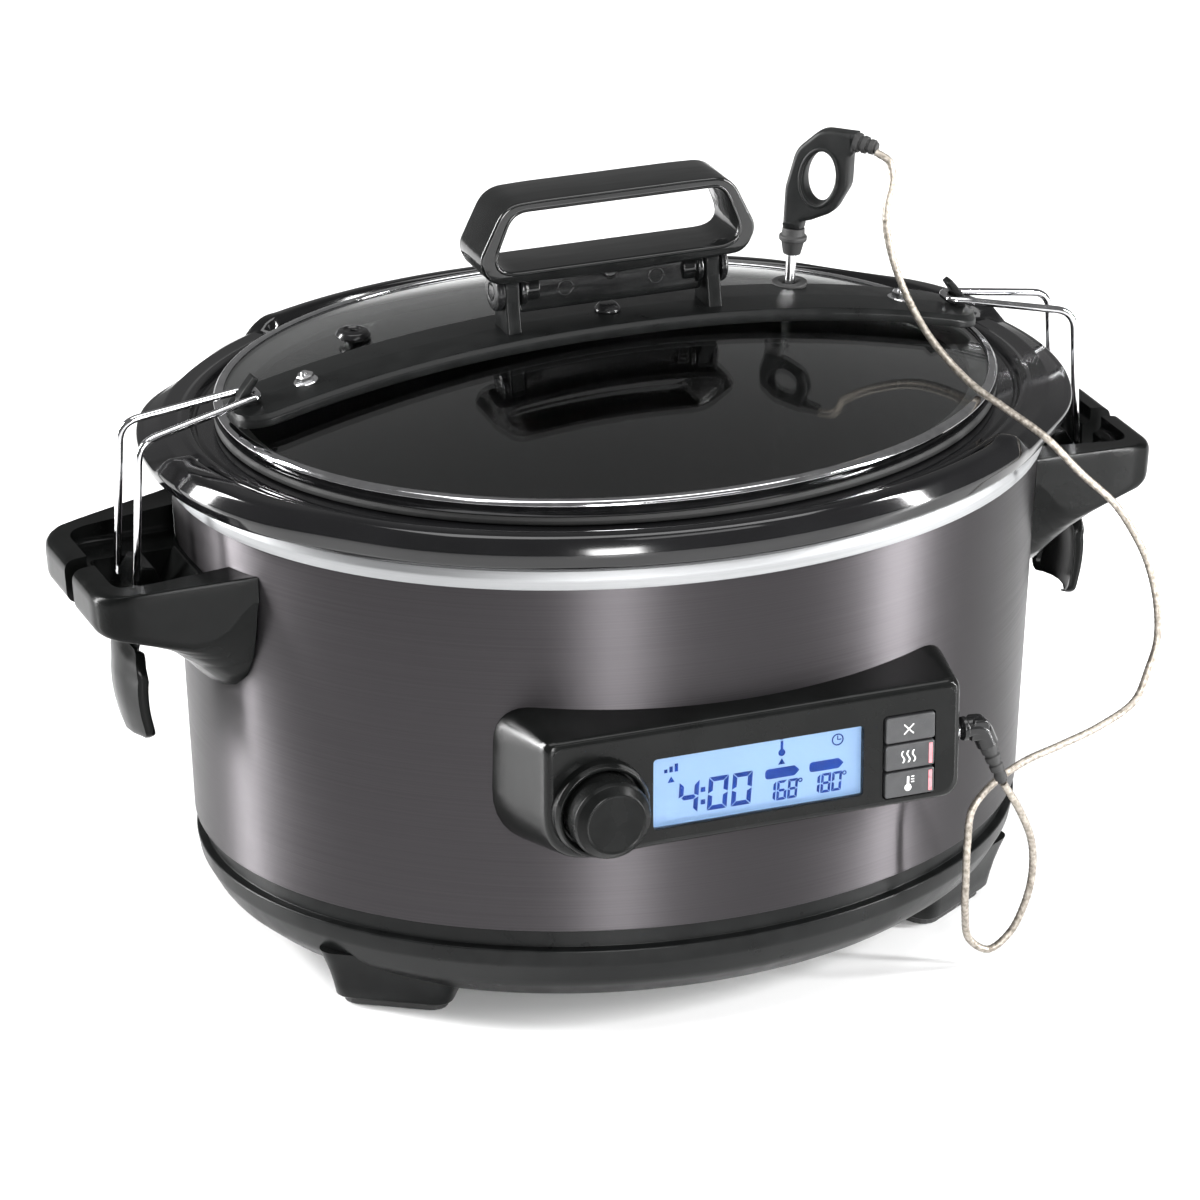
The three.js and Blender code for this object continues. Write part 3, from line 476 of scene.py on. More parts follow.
# ---- probe cable --------------------------------------------------------------------------------
CABLE_RADIUS = 0.0014
CABLE_ROUTE = [
    (0.1058, -0.0036, 0.2940), (0.1098, -0.0075, 0.2909), (0.1104, -0.0090, 0.2846),
    (0.1070, -0.0120, 0.2750), (0.1053, -0.0160, 0.2665), (0.1071, -0.0240, 0.2500),
    (0.1128, -0.0380, 0.2315), (0.1204, -0.0600, 0.2184), (0.1275, -0.0790, 0.2128),
    (0.1360, -0.0970, 0.2063), (0.1485, -0.1030, 0.1920), (0.1593, -0.1080, 0.1810),
    (0.1675, -0.1100, 0.1680), (0.1730, -0.1110, 0.1560), (0.1764, -0.1130, 0.1410),
    (0.1769, -0.1140, 0.1240), (0.1725, -0.1160, 0.1130), (0.1662, -0.1180, 0.1020),
    (0.1500, -0.1215, 0.0955), (0.1318, -0.1250, 0.0920), (0.1150, -0.1280, 0.0890),
    (0.1003, -0.1310, 0.0830), (0.0922, -0.1323, 0.0750), (0.0909, -0.1316, 0.0620),
    (0.0912, -0.1302, 0.0460), (0.0932, -0.1260, 0.0290), (0.0975, -0.1210, 0.0150),
    (0.1070, -0.1190, 0.0080), (0.1150, -0.1200, 0.0140), (0.1200, -0.1220, 0.0260),
    (0.1215, -0.1250, 0.0400), (0.1195, -0.1280, 0.0550), (0.1120, -0.1330, 0.0710), (0.1024, -0.1374, 0.0865)
]


def smooth_route(points, step):
    """Points a step apart on the centripetal Catmull-Rom curve through the given ones."""
    p = [Vector(q) for q in points]
    p = [p[0] * 2 - p[1], *p, p[-1] * 2 - p[-2]]
    dense = []
    for a, b, c, d in zip(p, p[1:], p[2:], p[3:]):
        t0 = 0
        t1 = t0 + math.sqrt((b - a).length)
        t2 = t1 + math.sqrt((c - b).length)
        t3 = t2 + math.sqrt((d - c).length)
        for k in range(60):
            t = mix(t1, t2, k / 60)
            ab = a * ((t1 - t) / (t1 - t0)) + b * ((t - t0) / (t1 - t0))
            bc = b * ((t2 - t) / (t2 - t1)) + c * ((t - t1) / (t2 - t1))
            cd = c * ((t3 - t) / (t3 - t2)) + d * ((t - t2) / (t3 - t2))
            abc = ab * ((t2 - t) / (t2 - t0)) + bc * ((t - t0) / (t2 - t0))
            bcd = bc * ((t3 - t) / (t3 - t1)) + cd * ((t - t1) / (t3 - t1))
            dense.append(abc * ((t2 - t) / (t2 - t1)) + bcd * ((t - t1) / (t2 - t1)))
    dense.append(p[-2])
    made, left = [dense[0]], step
    for a, b in zip(dense, dense[1:]):
        run = (b - a).length
        while run >= left > 0:
            a = a + (b - a).normalized() * left
            made.append(a)
            run = (b - a).length
            left = step
        left -= run
    if (made[-1] - dense[-1]).length > step / 2:
        made.append(dense[-1])
    return made


def make_cable():
    route = smooth_route(CABLE_ROUTE, 0.0005)
    length = sum((b - a).length for a, b in zip(route, route[1:]))
    strands, pitch = 6, 0.0042

    def braid(share, angle):
        along = TAU * share * length / pitch
        return 1 + 0.075 * math.cos(along + strands * angle) * math.cos(along - strands * angle)

    cable = tube("braided_cable", route, CABLE_RADIUS, sides=24, taper=braid, sharp=math.radians(80))
    piece(cable, "probe", ["probe_cable"], "steel_braid")
    return cable, route, length


cable, cable_path, cable_length = make_cable()

# ---- base ---------------------------------------------------------------------------------------
SHELL_LOW, SHELL_HIGH = mm((164, 139, 46.3), (170.4, 142, 188.2))  # half X, half Y, Z
OVAL_GAP, RING_GAP = 0.025, 0.028  # half X less half Y


def shell_half(z):
    """The shell's half X and half Y at a height."""
    t = (z - SHELL_LOW[2]) / (SHELL_HIGH[2] - SHELL_LOW[2])
    return mix(SHELL_LOW[0], SHELL_HIGH[0], t), mix(SHELL_LOW[1], SHELL_HIGH[1], t)


def shell_gap(a):
    """How much narrower the shell is in Y than in X where its half X is a."""
    t = (a - SHELL_LOW[0]) / (SHELL_HIGH[0] - SHELL_LOW[0])
    return mix(SHELL_LOW[0] - SHELL_LOW[1], SHELL_HIGH[0] - SHELL_HIGH[1], min(max(t, -0.5), 1.2))


def oval_gap(a, knee=0.147):
    """How much narrower the inner ovals are in Y where their half X is a: less within the knee."""
    return OVAL_GAP * min(1, a / knee)


def make_shell():
    profile = mm((164, 46.3, 0.5), (170.4, 188.2, 0.5), (169.2, 188.2, 0.3), (162.8, 46.3, 0.3))
    shell = oval("brushed_shell", fillet(profile), shell_gap, sides=256)
    piece(shell, "base", ["outer_shell"], "dark_shell")

    ring = mm(
        (160.8, 188.6, 0.3), (170.9, 188.6, 0.2), (170.9, 186.2, 0.2), (172.4, 186.2, 0.5), (173.0, 190.4, 2),
        (171.6, 194, 1.4), (160.8, 194, 0.3)
    )
    ring = oval("steel_ring", fillet(ring), lambda a: RING_GAP, sides=256)
    piece(ring, "base", ["rim_ring"], "ring_steel")

    liner = mm(
        (0, 57, 0), (137, 57, 9), (149.9, 69, 9), (157, 186.3, 1.5), (164.5, 186.3, 0.3), (164.5, 187.3, 0.3),
        (156, 187.3, 1.5), (148.9, 69, 8), (137, 58, 8), (0, 58, 0)
    )
    liner = oval("warming_well", fillet(liner, closed=False), oval_gap, sides=200)
    piece(liner, "base", ["cooking_liner"], "liner_aluminium")


def make_pan():
    profile = mm(
        (0, 7, 0), (131, 7, 5), (145, 11, 14), (156.5, 20.5, 16), (162.4, 31, 6), (163.6, 37.8, 0.8),
        (160.2, 38.2, 0.4), (160.4, 49, 0.4), (157.4, 49, 0.4), (157.1, 35, 1), (153.4, 26, 10), (142, 14, 8),
        (128, 10, 5), (0, 10, 0)
    )
    pan = oval("base_moulding", fillet(profile, closed=False), lambda a: oval_gap(a, 0.13), sides=220)
    feet = []
    for x in (-0.112, 0.112):
        for y in (-0.066, 0.066):
            rows = []
            for z, grow in mm((2.8, -1.6), (3.1, -0.7), (3.9, 0), (9, 0.9), (14, 2.0), (19, 3.4), (24, 5.0)):
                u, v = 0.0228 + grow, 0.0123 + grow
                rows.append([(x1, y1, z) for x1, y1 in rounded_box((-u, -v), (u, v), 0.007, 6)])
            foot = skin("foot", rows, wrap=False)
            turn = math.radians(-33 if x * y > 0 else 33)
            foot.data.transform(Matrix.Translation((x, AXIS.y + y, 0)) @ Matrix.Rotation(turn, 4, "Z"))
            feet.append(foot)
    piece(merge("base_moulding", pan, *feet), "base", ["base_pan"], "black_plastic")

    profile = [(0.0032, -0.012), (0.0055, -0.012), (0.0055, 0.009)]
    for k in range(3):
        z = 0.0095 + k * 0.0022
        profile += [(0.0056, z), (0.0056, z + 0.0012), (0.0047, z + 0.0014), (0.0047, z + 0.0020)]
    profile += [(0.0050, 0.0164), (0.0032, 0.0164)]
    gland = lathe("cord_gland_ribbed", profile, middle("cord_gland"), (0, 1, 0), sides=40)
    piece(gland, "base", ["cord_gland"], "black_rubber")


make_shell()
make_pan()

# ---- crock --------------------------------------------------------------------------------------
BEAD_ENDS = {"front": (-179, -44), "back": (10, 126)}  # degrees round the oval, seen from above
BEAD_FADE = 4  # degrees over which a bead's rounded end rises


def bead_share(degrees):
    """1 where the crock's rolled bead runs, 0 at its smooth ends beside the handles."""
    share = 0.0
    for start, end in BEAD_ENDS.values():
        turn = (degrees - start) % 360
        span = end - start
        if turn <= span:
            share = max(share, min(turn / BEAD_FADE, (span - turn) / BEAD_FADE, 1))
    return math.sqrt(max(1 - (1 - share) ** 2, 0))


def bead_knob(degrees):
    """A small swelling at each end of a bead."""
    swell = 0.0
    for start, end in BEAD_ENDS.values():
        for tip, way in ((start, 1), (end, -1)):
            away = ((degrees - tip) * way + 180) % 360 - 180
            ball = 1.0 if tip == BEAD_ENDS["front"][1] else 0.3
            swell = max(swell, ball * math.exp(-(((away - 2.4) / 1.9) ** 2)))
    return swell


def crock_rim(degrees):
    """The crock's lip in (half X, Z, fillet), from the lid's ledge over the edge and under it."""
    bead, knob = bead_share(degrees), bead_knob(degrees)
    aside = math.degrees(math.asin(min(abs(math.sin(math.radians(degrees))), 1)))  # from the nearer handle
    tab = 1 / (1 + math.exp((aside - 30) / 3))
    shoulder = math.exp(-(((aside - 38) / 8) ** 2)) * (1.0 if math.sin(math.radians(degrees)) > 0 else 0.3)
    outer = 180.6 + 2.9 * tab - 4.2 * shoulder
    crest = mix(205.0 - 0.8 * tab, 209.4, bead) + 1.9 * knob
    groove = mix(205.4, 202.3, bead)
    inner = mix(171.5, 169.2, bead) - 0.8 * knob
    return mm(
        (159.5, 204.4, 1.2), (161.0, 203.2, 1.0), (162.8, 206.0, 1.3), (165.4, 206.2, 1.6),
        (167.2, groove, 1.4), (inner, mix(groove, crest - 3.4, bead), 1.6),
        (inner + 2.2, mix(groove, crest, bead), 2.4),
        (outer - 3.4 + 0.5 * knob, crest - 0.5 - 0.8 * (1 - bead), 4.2), (outer + 0.4 * knob, 202.2, 3.2),
        (outer - 1.3, 197.2, 2.2), (175.6, 194.5, 1.2)
    )


def make_crock():
    sides = 480
    inside = mm((0, 66, 0), (122, 66, 14), (136, 75, 16), (145.6, 198, 4), (147, 204.5, 2.2))
    outside = mm((154.3, 194.4, 2.5), (145.5, 74, 14), (134, 61.5, 6), (124, 60, 3), (0, 60, 0))
    columns = []
    for angle in turns(sides):
        outline = fillet([*inside, *crock_rim(math.degrees(angle)), *outside], steps=4, closed=False)
        column = []
        for a, z in outline:
            edge = min(max((a - 0.147) / 0.035, 0), 1)
            b = max(a - (oval_gap(a) + 0.005 * edge), 0)
            column.append((AXIS.x + a * math.cos(angle), AXIS.y + b * math.sin(angle), z))
        columns.append(column)
    rows = [[column[r] for column in columns] for r in range(len(columns[0]))]
    piece(skin("glazed_crock", rows, sharp=math.radians(60)), "pot", ["crock"], "black_glaze")


make_crock()

# ---- lid ----------------------------------------------------------------------------------------
LID_EDGE, LID_TOP, DOME_RISE = 0.1501, 0.214, 0.021
GLASS_THICK = 0.003


def dome_z(a, drop=0.0):
    """The glass's height where its half X is a."""
    return LID_TOP + DOME_RISE * (1 - (a / LID_EDGE) ** 2) - 0.0004 - drop


def make_glass():
    steps = 28
    edge = [LID_EDGE * k / steps for k in range(steps + 1)]
    profile = [(a, dome_z(a)) for a in edge] + [(a, dome_z(a, GLASS_THICK)) for a in reversed(edge)]
    glass = oval("glass_dome", profile, oval_gap, sides=200)
    piece(glass, "lid", ["lid_glass"], "clear_glass")

    rim = mm(
        (150.4, 208.3, 0.3), (152.7, 208.3, 0.5), (153.3, 209.8, 0.8), (153.3, 213, 1.6), (152.2, 214.2, 1.2),
        (150.0, 214.6, 0.9), (149.2, 213.9, 0.3), (150.4, 213.4, 0.3)
    )
    rim = oval("polished_rim", fillet(rim, steps=5), oval_gap, sides=256)
    piece(rim, "lid", ["lid_rim"], "chrome_wire")
    gasket = mm(
        (142.1, 204.8, 0.6), (152.9, 204.8, 1.4), (153.0, 206.6, 0.5), (152.4, 208.0, 0.5),
        (142.1, 208.0, 0.5)
    )
    gasket = oval("lid_seal", fillet(gasket), oval_gap, sides=200)
    piece(gasket, "lid", ["lid_gasket"], "black_rubber")


BAR_END, BAR_HALF, BAR_CORNER = 0.152, 0.017, 0.014


def bar_z(x):
    """The top of the lid's bar at x."""
    return 0.2405 - 0.019 * (abs(x) / BAR_END) ** 2.2


def bar_half_width(x):
    """Half the bar's width in Y at x, less round its ends."""
    past = max(abs(x) - (BAR_END - BAR_CORNER), 0)
    return BAR_HALF - BAR_CORNER + math.sqrt(max(BAR_CORNER**2 - past**2, 0))


def make_bar():
    rows = []
    steps = 96
    for k in range(steps + 1):
        x = -BAR_END * math.cos(math.pi * k / steps)
        half = max(bar_half_width(x), 0.0030)
        z = bar_z(x)
        edge = 0.0022
        loop = fillet([
            (-half, z - 0.0050, 0.0005), (-half, z - 0.0022, 0.0012), (-half + edge, z - 0.0005, 0.0014),
            (0, z, 0.02), (half - edge, z - 0.0005, 0.0014), (half, z - 0.0022, 0.0012),
            (half, z - 0.0050, 0.0005), (half - edge, z - 0.0052, 0.0002), (-half + edge, z - 0.0052, 0.0002)
        ], steps=3)
        rows.append([(x, AXIS.y + y, height) for y, height in loop])
    bar = skin("arched_bar", rows, wrap=False)
    parts = [bar]
    hinge_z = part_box("handle_pin_left")[0].z + 0.0076
    for side in (-1, 1):
        x = side * 0.041
        base_z = bar_z(x) - 0.002
        ear = fillet([
            (AXIS.y - 0.0092, base_z, 0), (AXIS.y - 0.0064, hinge_z - 0.003, 0.006),
            (AXIS.y - 0.0062, hinge_z + 0.0060, 0.0056), (AXIS.y + 0.0055, hinge_z + 0.0060, 0.0052),
            (AXIS.y + 0.0055, base_z, 0)
        ], steps=8)
        parts.append(plate("ear", [ear], x - 0.003, x + 0.003, 0.0009, "YZ"))
        tab = mm(
            (145.6, 219.5, 0.4), (149.6, 219.5, 0.4), (149.0, 226.5, 1.2), (147.4, 229.0, 1.5),
            (143.2, 234.2, 0.7), (141.2, 232.8, 0.7), (144.6, 227.4, 1.4)
        )
        hook = plate(
            "hook", [fillet([(side * u, v, r) for u, v, r in tab])], AXIS.y - 0.0027, AXIS.y + 0.0027, 0.0006
        )
        parts.append(hook)
    piece(merge("lid_bar_moulding", *parts), "lid", ["lid_bar"], "black_plastic")


def make_lid_fasteners():
    for label, side in SIDES:
        x = side * 0.122
        seat = bar_z(x) + 0.0003
        tilt = Vector((side * 0.22, 0, 1)).normalized()
        shapes = (
            (((0, -0.6), (3.5, -0.6), (3.5, 1.9), (2.9, 2.5), (0, 2.5)), 6, math.radians(20)),
            (((0, -12), (1.5, -12), (1.5, 3.0), (1.1, 3.5), (0, 3.5)), 20, SHARP),
            (((0, -0.8), (4.6, -0.8), (4.7, -0.3), (4.4, 0), (0, 0)), 32, SHARP)
        )
        place = (x, AXIS.y, seat)
        nut, stud, washer = [lathe("part", mm(*points), place, tilt, *way) for points, *way in shapes]
        piece(merge(f"hex_nut_{label}", nut, stud, washer), "lid", [f"bar_nut_{label}"], "bright_steel")

        low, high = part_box(f"handle_pin_{label}")
        face = high.x if side > 0 else low.x
        profile = (
            (0, 0.0), (2.6, 0.0), (2.9, -0.5), (3.3, -0.5), (3.6, 0.1), (6.4, -0.1), (7.3, -0.6), (7.6, -1.4),
            (7.6, -3.0), (3.0, -3.0), (3.0, -13.9), (0, -13.9)
        )
        place = (face, AXIS.y, (low.z + high.z) / 2)
        boss = turned(f"hinge_boss_{label}", [(*p, 0.3) for p in profile], place, (side, 0, 0), 40)
        piece(boss, "lid", [f"handle_pin_{label}"], "gloss_black")

    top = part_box("bar_centre_screw")[1].z
    profile = (
        (0, 0, 0), (3.4, -0.1, 1.4), (5.0, -2.0, 0.8), (5.1, -2.8, 0.2), (3, -2.8, 0), (3, -6, 0), (0, -6, 0)
    )
    piece(
        turned("bar_button", profile, (AXIS.x, AXIS.y, top), steps=4), "lid", ["bar_centre_screw"],
        "gloss_black"
    )

    low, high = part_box("vent_grommet")
    profile = (
        (1.2, -8.0, 0.2), (3.4, -8.0, 0.4), (3.4, 0.9, 0.2), (6.5, 1.0, 0.5), (6.9, 2.2, 0.8),
        (5.8, 3.8, 1.0), (4.0, 4.3, 0.5), (3.3, 3.5, 0.4), (2.2, 3.4, 0.4), (1.2, 4.0, 0.3)
    )
    place = ((low.x + high.x) / 2, (low.y + high.y) / 2, high.z - 0.005)
    vent = turned("steam_vent", profile, place, steps=4, closed=True)
    piece(vent, "lid", ["vent_grommet"], "gloss_black")

    profile = (
        (2.5, -6, 0.3), (6.6, -6, 0.3), (6.6, 4.6, 0.2), (7.0, 4.9, 0.3), (6.9, 5.8, 0.5), (4.4, 6.0, 0.6),
        (3.0, 5.2, 0.4), (2.5, 4.4, 0.3)
    )
    grommet = turned("probe_sleeve", profile, middle("probe_grommet"), sides=40, closed=True)
    piece(grommet, "lid", ["probe_grommet"], "black_rubber")


make_glass()
make_bar()
make_lid_fasteners()


# ---- booleans -----------------------------------------------------------------------------------
def combine(made, others, operation):
    """Joins the other closed bodies to a mesh, or cuts them from it, and removes them."""
    for other in others:
        modifier = made.modifiers.new("combine", "BOOLEAN")
        modifier.operation = operation
        modifier.solver = "EXACT"
        modifier.object = other
    if "flat" in made.modifiers:
        made.modifiers.remove(made.modifiers["flat"])
    bpy.context.view_layer.update()
    evaluated = made.evaluated_get(bpy.context.evaluated_depsgraph_get())
    result = bpy.data.meshes.new_from_object(evaluated)
    points = [v.co.copy() for v in result.vertices]
    faces = [tuple(face.vertices) for face in result.polygons]
    name = made.name
    for o in (made, *others):
        bpy.data.objects.remove(o)
    bpy.data.meshes.remove(result)
    return flat_normals(mesh_object(name, points, faces, math.radians(32)))


# ---- folding lid handle -------------------------------------------------------------------------
def make_lid_handle():
    low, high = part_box("lid_handle")
    hinge = middle("handle_pin_left").z
    half_y = (high.y - low.y) / 2
    foot = hinge + 0.0065
    top = high.z
    wide = high.x

    outer = fillet([
        (-wide + 0.004, foot + 0.0003, 0.010), (0, foot - 0.0011, 0.3), (wide - 0.004, foot + 0.0003, 0.010),
        (wide + 0.0006, foot + 0.010, 0.008), (0.0460, top - 0.0005, 0.012), (0.030, top, 0.3),
        (-0.030, top, 0.3), (-0.0460, top - 0.0005, 0.012), (-wide - 0.0006, foot + 0.010, 0.008)
    ], 8)
    window_low, window_high = foot + 0.0045, top - 0.0042

    def window(half_low, half_high, grow, radius):
        """The outline of the finger gap, grown outwards."""
        z0, z1 = window_low - grow, window_high + grow
        corners = ((-half_low, z0), (half_low, z0), (half_high, z1), (-half_high, z1))
        return fillet([(*corner, radius) for corner in corners], 8)

    loop = plate(
        "loop", [outer, window(0.0524, 0.0424, 0, 0.009)], AXIS.y - half_y, AXIS.y + half_y, 0.0011, steps=4
    )
    beads = []
    for y in (AXIS.y - half_y + 0.0004, AXIS.y + half_y - 0.0004):
        ring = [(u, y, v) for u, v in window(0.0533, 0.0431, 0.0009, 0.0094)]
        beads.append(tube("bead", [*ring, ring[0], ring[1]], 0.0008, sides=10))
    web_half, web_deep = 0.0374, 0.0034
    web_outline = fillet([
        (-web_half, hinge - 0.0088, 0.002), (web_half, hinge - 0.0088, 0.002),
        (web_half, foot + 0.003, 0.001), (-web_half, foot + 0.003, 0.001)
    ])
    web = plate("web", [web_outline], AXIS.y - web_deep, AXIS.y + web_deep, 0.0009)
    parts = [loop, *beads, web]
    for side in (-1, 1):
        barrel = ((0, 0, 0), (6.9, 0, 1.0), (6.9, 2.4, 0.8), (5.4, 3.2, 0.4), (5.2, 8, 0.4), (0, 8, 0))
        parts.append(turned("barrel", barrel, (side * web_half, AXIS.y, hinge), (-side, 0, 0), 36))
    screw = ((0, -1, 0), (3.4, -1, 0.3), (3.4, 0.7, 0.5), (2.4, 0.8, 0.2), (2.2, 0.2, 0.2), (0, 0.2, 0))
    parts.append(turned("screw", screw, (0, AXIS.y - web_deep, foot - 0.0030), (0, -1, 0), 28))
    mark = ((2.6, -0.6, 0.1), (3.3, -0.6, 0.1), (3.3, 0.25, 0.15), (2.6, 0.25, 0.15))
    for x in (-0.0185, 0.0185):
        parts.append(turned(
            "mould_mark", mark, (x, AXIS.y - web_deep, hinge - 0.0010), (0, -1, 0), 28, 2, True
        ))
    piece(merge("folding_handle", *parts), "lid_grip", ["lid_handle"], "black_plastic", handle_black)


handle_black = material(
    "handle_black", (0.0032, 0.0034, 0.0034), (0.0054, 0.0057, 0.0057), (0.09, 0.15), scale=80, bump=0.9,
    bump_scale=20, bump_stretch=(1, 7, 7), Specular_IOR_Level=0.46
)
make_lid_handle()


# ---- side handles, levers and bails -------------------------------------------------------------
HANDLE_OUT, HANDLE_ROUND = 0.2176, 0.0115  # outer end, and how far its rounded corners reach in
LEVER_X, LEVER_Z = 0.190, 0.153  # a latch lever's axle


def shell_block(out):
    """A closed oval that fills the shell, grown outwards."""
    low, high = 0.060, 0.1882
    a0, a1 = shell_half(low)[0] + out, shell_half(high)[0] + out
    return oval(
        "shell_block", [(0, low), (a0, low), (a1, high), (0, high)], lambda a: shell_gap(a - out) if a else 0
    )


LOBE = mm((0, 114.5), (14, 115), (24.5, 117.4), (33, 122), (40, 129.5), (44.5, 139), (47, 150), (49, 163))


def lobe_bottom(wide):
    """The height where a side handle's underside meets the shell, at a distance from its middle."""
    for (w0, z0), (w1, z1) in zip(LOBE, LOBE[1:]):
        if wide <= w1:
            return mix(z0, z1, (wide - w0) / (w1 - w0))
    return LOBE[-1][1]


def handle_slice(reach, wide):
    """An upright slice of a side handle in (X, Z), from its inner end to reach."""
    inner = 0.150
    low = lobe_bottom(wide)

    def under(x):
        t = min(max((x - 0.164) / 0.048, 0), 1)
        return low + (0.1505 - low) * (1 - (1 - t) ** 1.75)

    def over(x):
        return 0.1680 + 0.0060 * min(max((HANDLE_OUT - x) / 0.058, 0), 1)

    span = reach - inner
    outline = [(inner, over(inner), 0), (inner, low, 0)]
    outline += [(inner + span * t, under(inner + span * t), 0.02) for t in (0.25, 0.4, 0.55, 0.7, 0.85)]
    outline += [
        (reach - 0.0012, under(reach) + 0.0005, min(0.0060, span / 4)),
        (reach, over(reach), min(0.0050, span / 4))
    ]
    return fillet(outline, 6)


def make_side_handle(label, side):
    y = AXIS.y
    rows = []
    steps = 44
    for k in range(steps + 1):
        across = -math.cos(math.pi * k / steps)
        v = 0.0505 * across
        wide = abs(v)
        if wide <= 0.0270:
            reach = HANDLE_OUT
        elif wide <= 0.0400:
            reach = HANDLE_OUT - HANDLE_ROUND * (1 - math.sqrt(max(1 - ((wide - 0.0270) / 0.0130) ** 2, 0)))
        else:
            reach = mix(HANDLE_OUT - HANDLE_ROUND, 0.1560, (wide - 0.0400) / 0.0105)
        rows.append([(u, y + v, z) for u, z in handle_slice(reach, wide)])
    body = skin(f"side_grip_{label}", rows, wrap=False, sharp=math.radians(50))

    tray = fillet([
        (0.140, y - 0.0345, 0.004), (0.2085, y - 0.0325, 0.010), (0.2085, y + 0.0325, 0.010),
        (0.140, y + 0.0345, 0.004)
    ], 8)
    tray = plate("tray", [tray], 0.1625, 0.180, 0.0026, "XY", 5)
    pocket = rounded_box((0.170, y - 0.015), (0.205, y + 0.015), 0.004, 6)
    pocket = plate("pocket", [pocket], 0.100, 0.190, 0.0005, "XY", 2)
    slot = rounded_box((0.200, y - 0.0048), (0.224, y + 0.0048), 0)
    slot = plate("slot", [slot], 0.140, 0.180, 0.0004, "XY", 2)
    pin = lathe(
        "pin_room", [(0, -0.021), (0.0023, -0.021), (0.0023, 0.021), (0, 0.021)], (LEVER_X, y, LEVER_Z),
        (0, 1, 0), 24
    )
    body = combine(body, [tray, pocket, slot, pin, shell_block(0.0003)], "DIFFERENCE")

    ramp = fillet([
        (0.1690, 0.1635, 0), (0.1712, 0.1638, 0.001), (0.1785, 0.1500, 0.001), (0.1770, 0.1490, 0.001),
        (0.1690, 0.1490, 0)
    ], 4)
    ramp = plate("ramp", [ramp], y - 0.0148, y + 0.0148, 0.0008)
    grip = merge(f"side_grip_{label}", body, ramp)
    flat_normals(grip)
    if side < 0:
        mirror_x(grip)
    piece(grip, "base", [f"side_handle_{label}"], "black_plastic", grip_black)

    profile = ((0, -20, 0), (1.9, -20, 0.5), (1.9, 20, 0.5), (0, 20, 0))
    pin = turned(f"lever_axle_{label}", profile, (side * LEVER_X, y, LEVER_Z), (0, 1, 0), 24)
    piece(pin, "base", [f"lever_pin_{label}"], "bright_steel")


grip_black = material(
    "grip_black", (0.0022, 0.0024, 0.0023), (0.0040, 0.0043, 0.0042), (0.19, 0.27), scale=90, bump=0.10,
    bump_scale=1900, Specular_IOR_Level=0.08
)


def make_lever(label, side):
    x, y, z = LEVER_X, AXIS.y, LEVER_Z

    def outline(points, steps=4):
        return fillet([(x + u * MM, z + v * MM, r * MM) for u, v, r in points], steps)

    head = outline(((-5, -4, 1), (4, -4, 1), (5, 7.5, 1.2), (1.2, 13.8, 1.0), (-4, 12.8, 1.0), (-6, 7, 1.0)))
    shank = outline(((-3.5, -2, 0.5), (3, -2, 0.5), (6.2, -24, 1), (1.6, -24, 1)))
    bend = mm((3.6, -19.5), (6.4, -24.5), (7.7, -30), (7.8, -36), (7.2, -42), (6.0, -48), (4.6, -53.8))
    spine = smooth_route([(u, 0, v) for u, v in bend], 0.0012)
    rows = []
    for k, p in enumerate(spine):
        after = spine[min(k + 1, len(spine) - 1)] - spine[max(k - 1, 0)]
        out = Vector((-after.z, 0, after.x)).normalized()
        share = k / (len(spine) - 1)
        tip = math.sqrt(max(1 - max((share - 0.88) / 0.17, 0) ** 2, 0.10))
        half = 0.0172 * tip * mix(0.62, 1.0, min(share / 0.22, 1) ** 0.6)
        thick = mix(0.0023, 0.0018, share)
        loop = [
            (-1.00, 0.35), (-0.97, 1.0), (-0.84, 1.0), (-0.80, 0.35), (-0.4, 0.25), (0, 0.22), (0.4, 0.25),
            (0.80, 0.35), (0.84, 1.0), (0.97, 1.0), (1.00, 0.35), (1.00, -0.45), (0.96, -1.0), (0.5, -1.05),
            (0, -1.05), (-0.5, -1.05), (-0.96, -1.0), (-1.00, -0.45)
        ]
        bow = 0.0036 * min(share / 0.3, 1)
        rows.append([
            (x + p.x - bow * w * w - out.x * t * thick, y + half * w, z + p.z - out.z * t * thick)
            for w, t in loop
        ])
    parts = [
        plate("head", [head], y - 0.0092, y + 0.0092, 0.0008),
        plate("shank", [shank], y - 0.0030, y + 0.0030, 0.0008),
        skin("paddle", rows, wrap=False, sharp=math.radians(40))
    ]
    lever = merge(f"latch_{label}", *parts)
    flat_normals(lever)
    if side < 0:
        mirror_x(lever)
    piece(lever, f"{label}_lever", [f"latch_lever_{label}"], "black_plastic", grip_black)


def make_bail(label, side):
    y = AXIS.y
    leg = mm((194.5, 11.6, 157), (191.8, 11.6, 217.6), (147.5, 5.6, 226.0), (141.9, 4.6, 226.6))
    route = [(side * u, y - v, w) for u, v, w in leg] + [(side * u, y + v, w) for u, v, w in reversed(leg)]
    path = rounded_path(route, 0.0075, 10)
    dense = []
    for a, b in zip(path, path[1:]):
        count = max(int((b - a).length / 0.002), 1)
        dense += [a.lerp(b, k / count) for k in range(count)]
    dense.append(path[-1])

    def rounded_tips(share, angle):
        end = min(share, 1 - share) / 0.004
        return math.sqrt(max(1 - (1 - min(end, 1)) ** 2, 0.05))

    wire = tube(f"bail_wire_{label}", dense, 0.0015, sides=16, taper=rounded_tips)
    piece(wire, f"{label}_bail", [f"bail_{label}"], "chrome_wire")


for label, side in SIDES:
    make_side_handle(label, side)
    make_lever(label, side)
    make_bail(label, side)

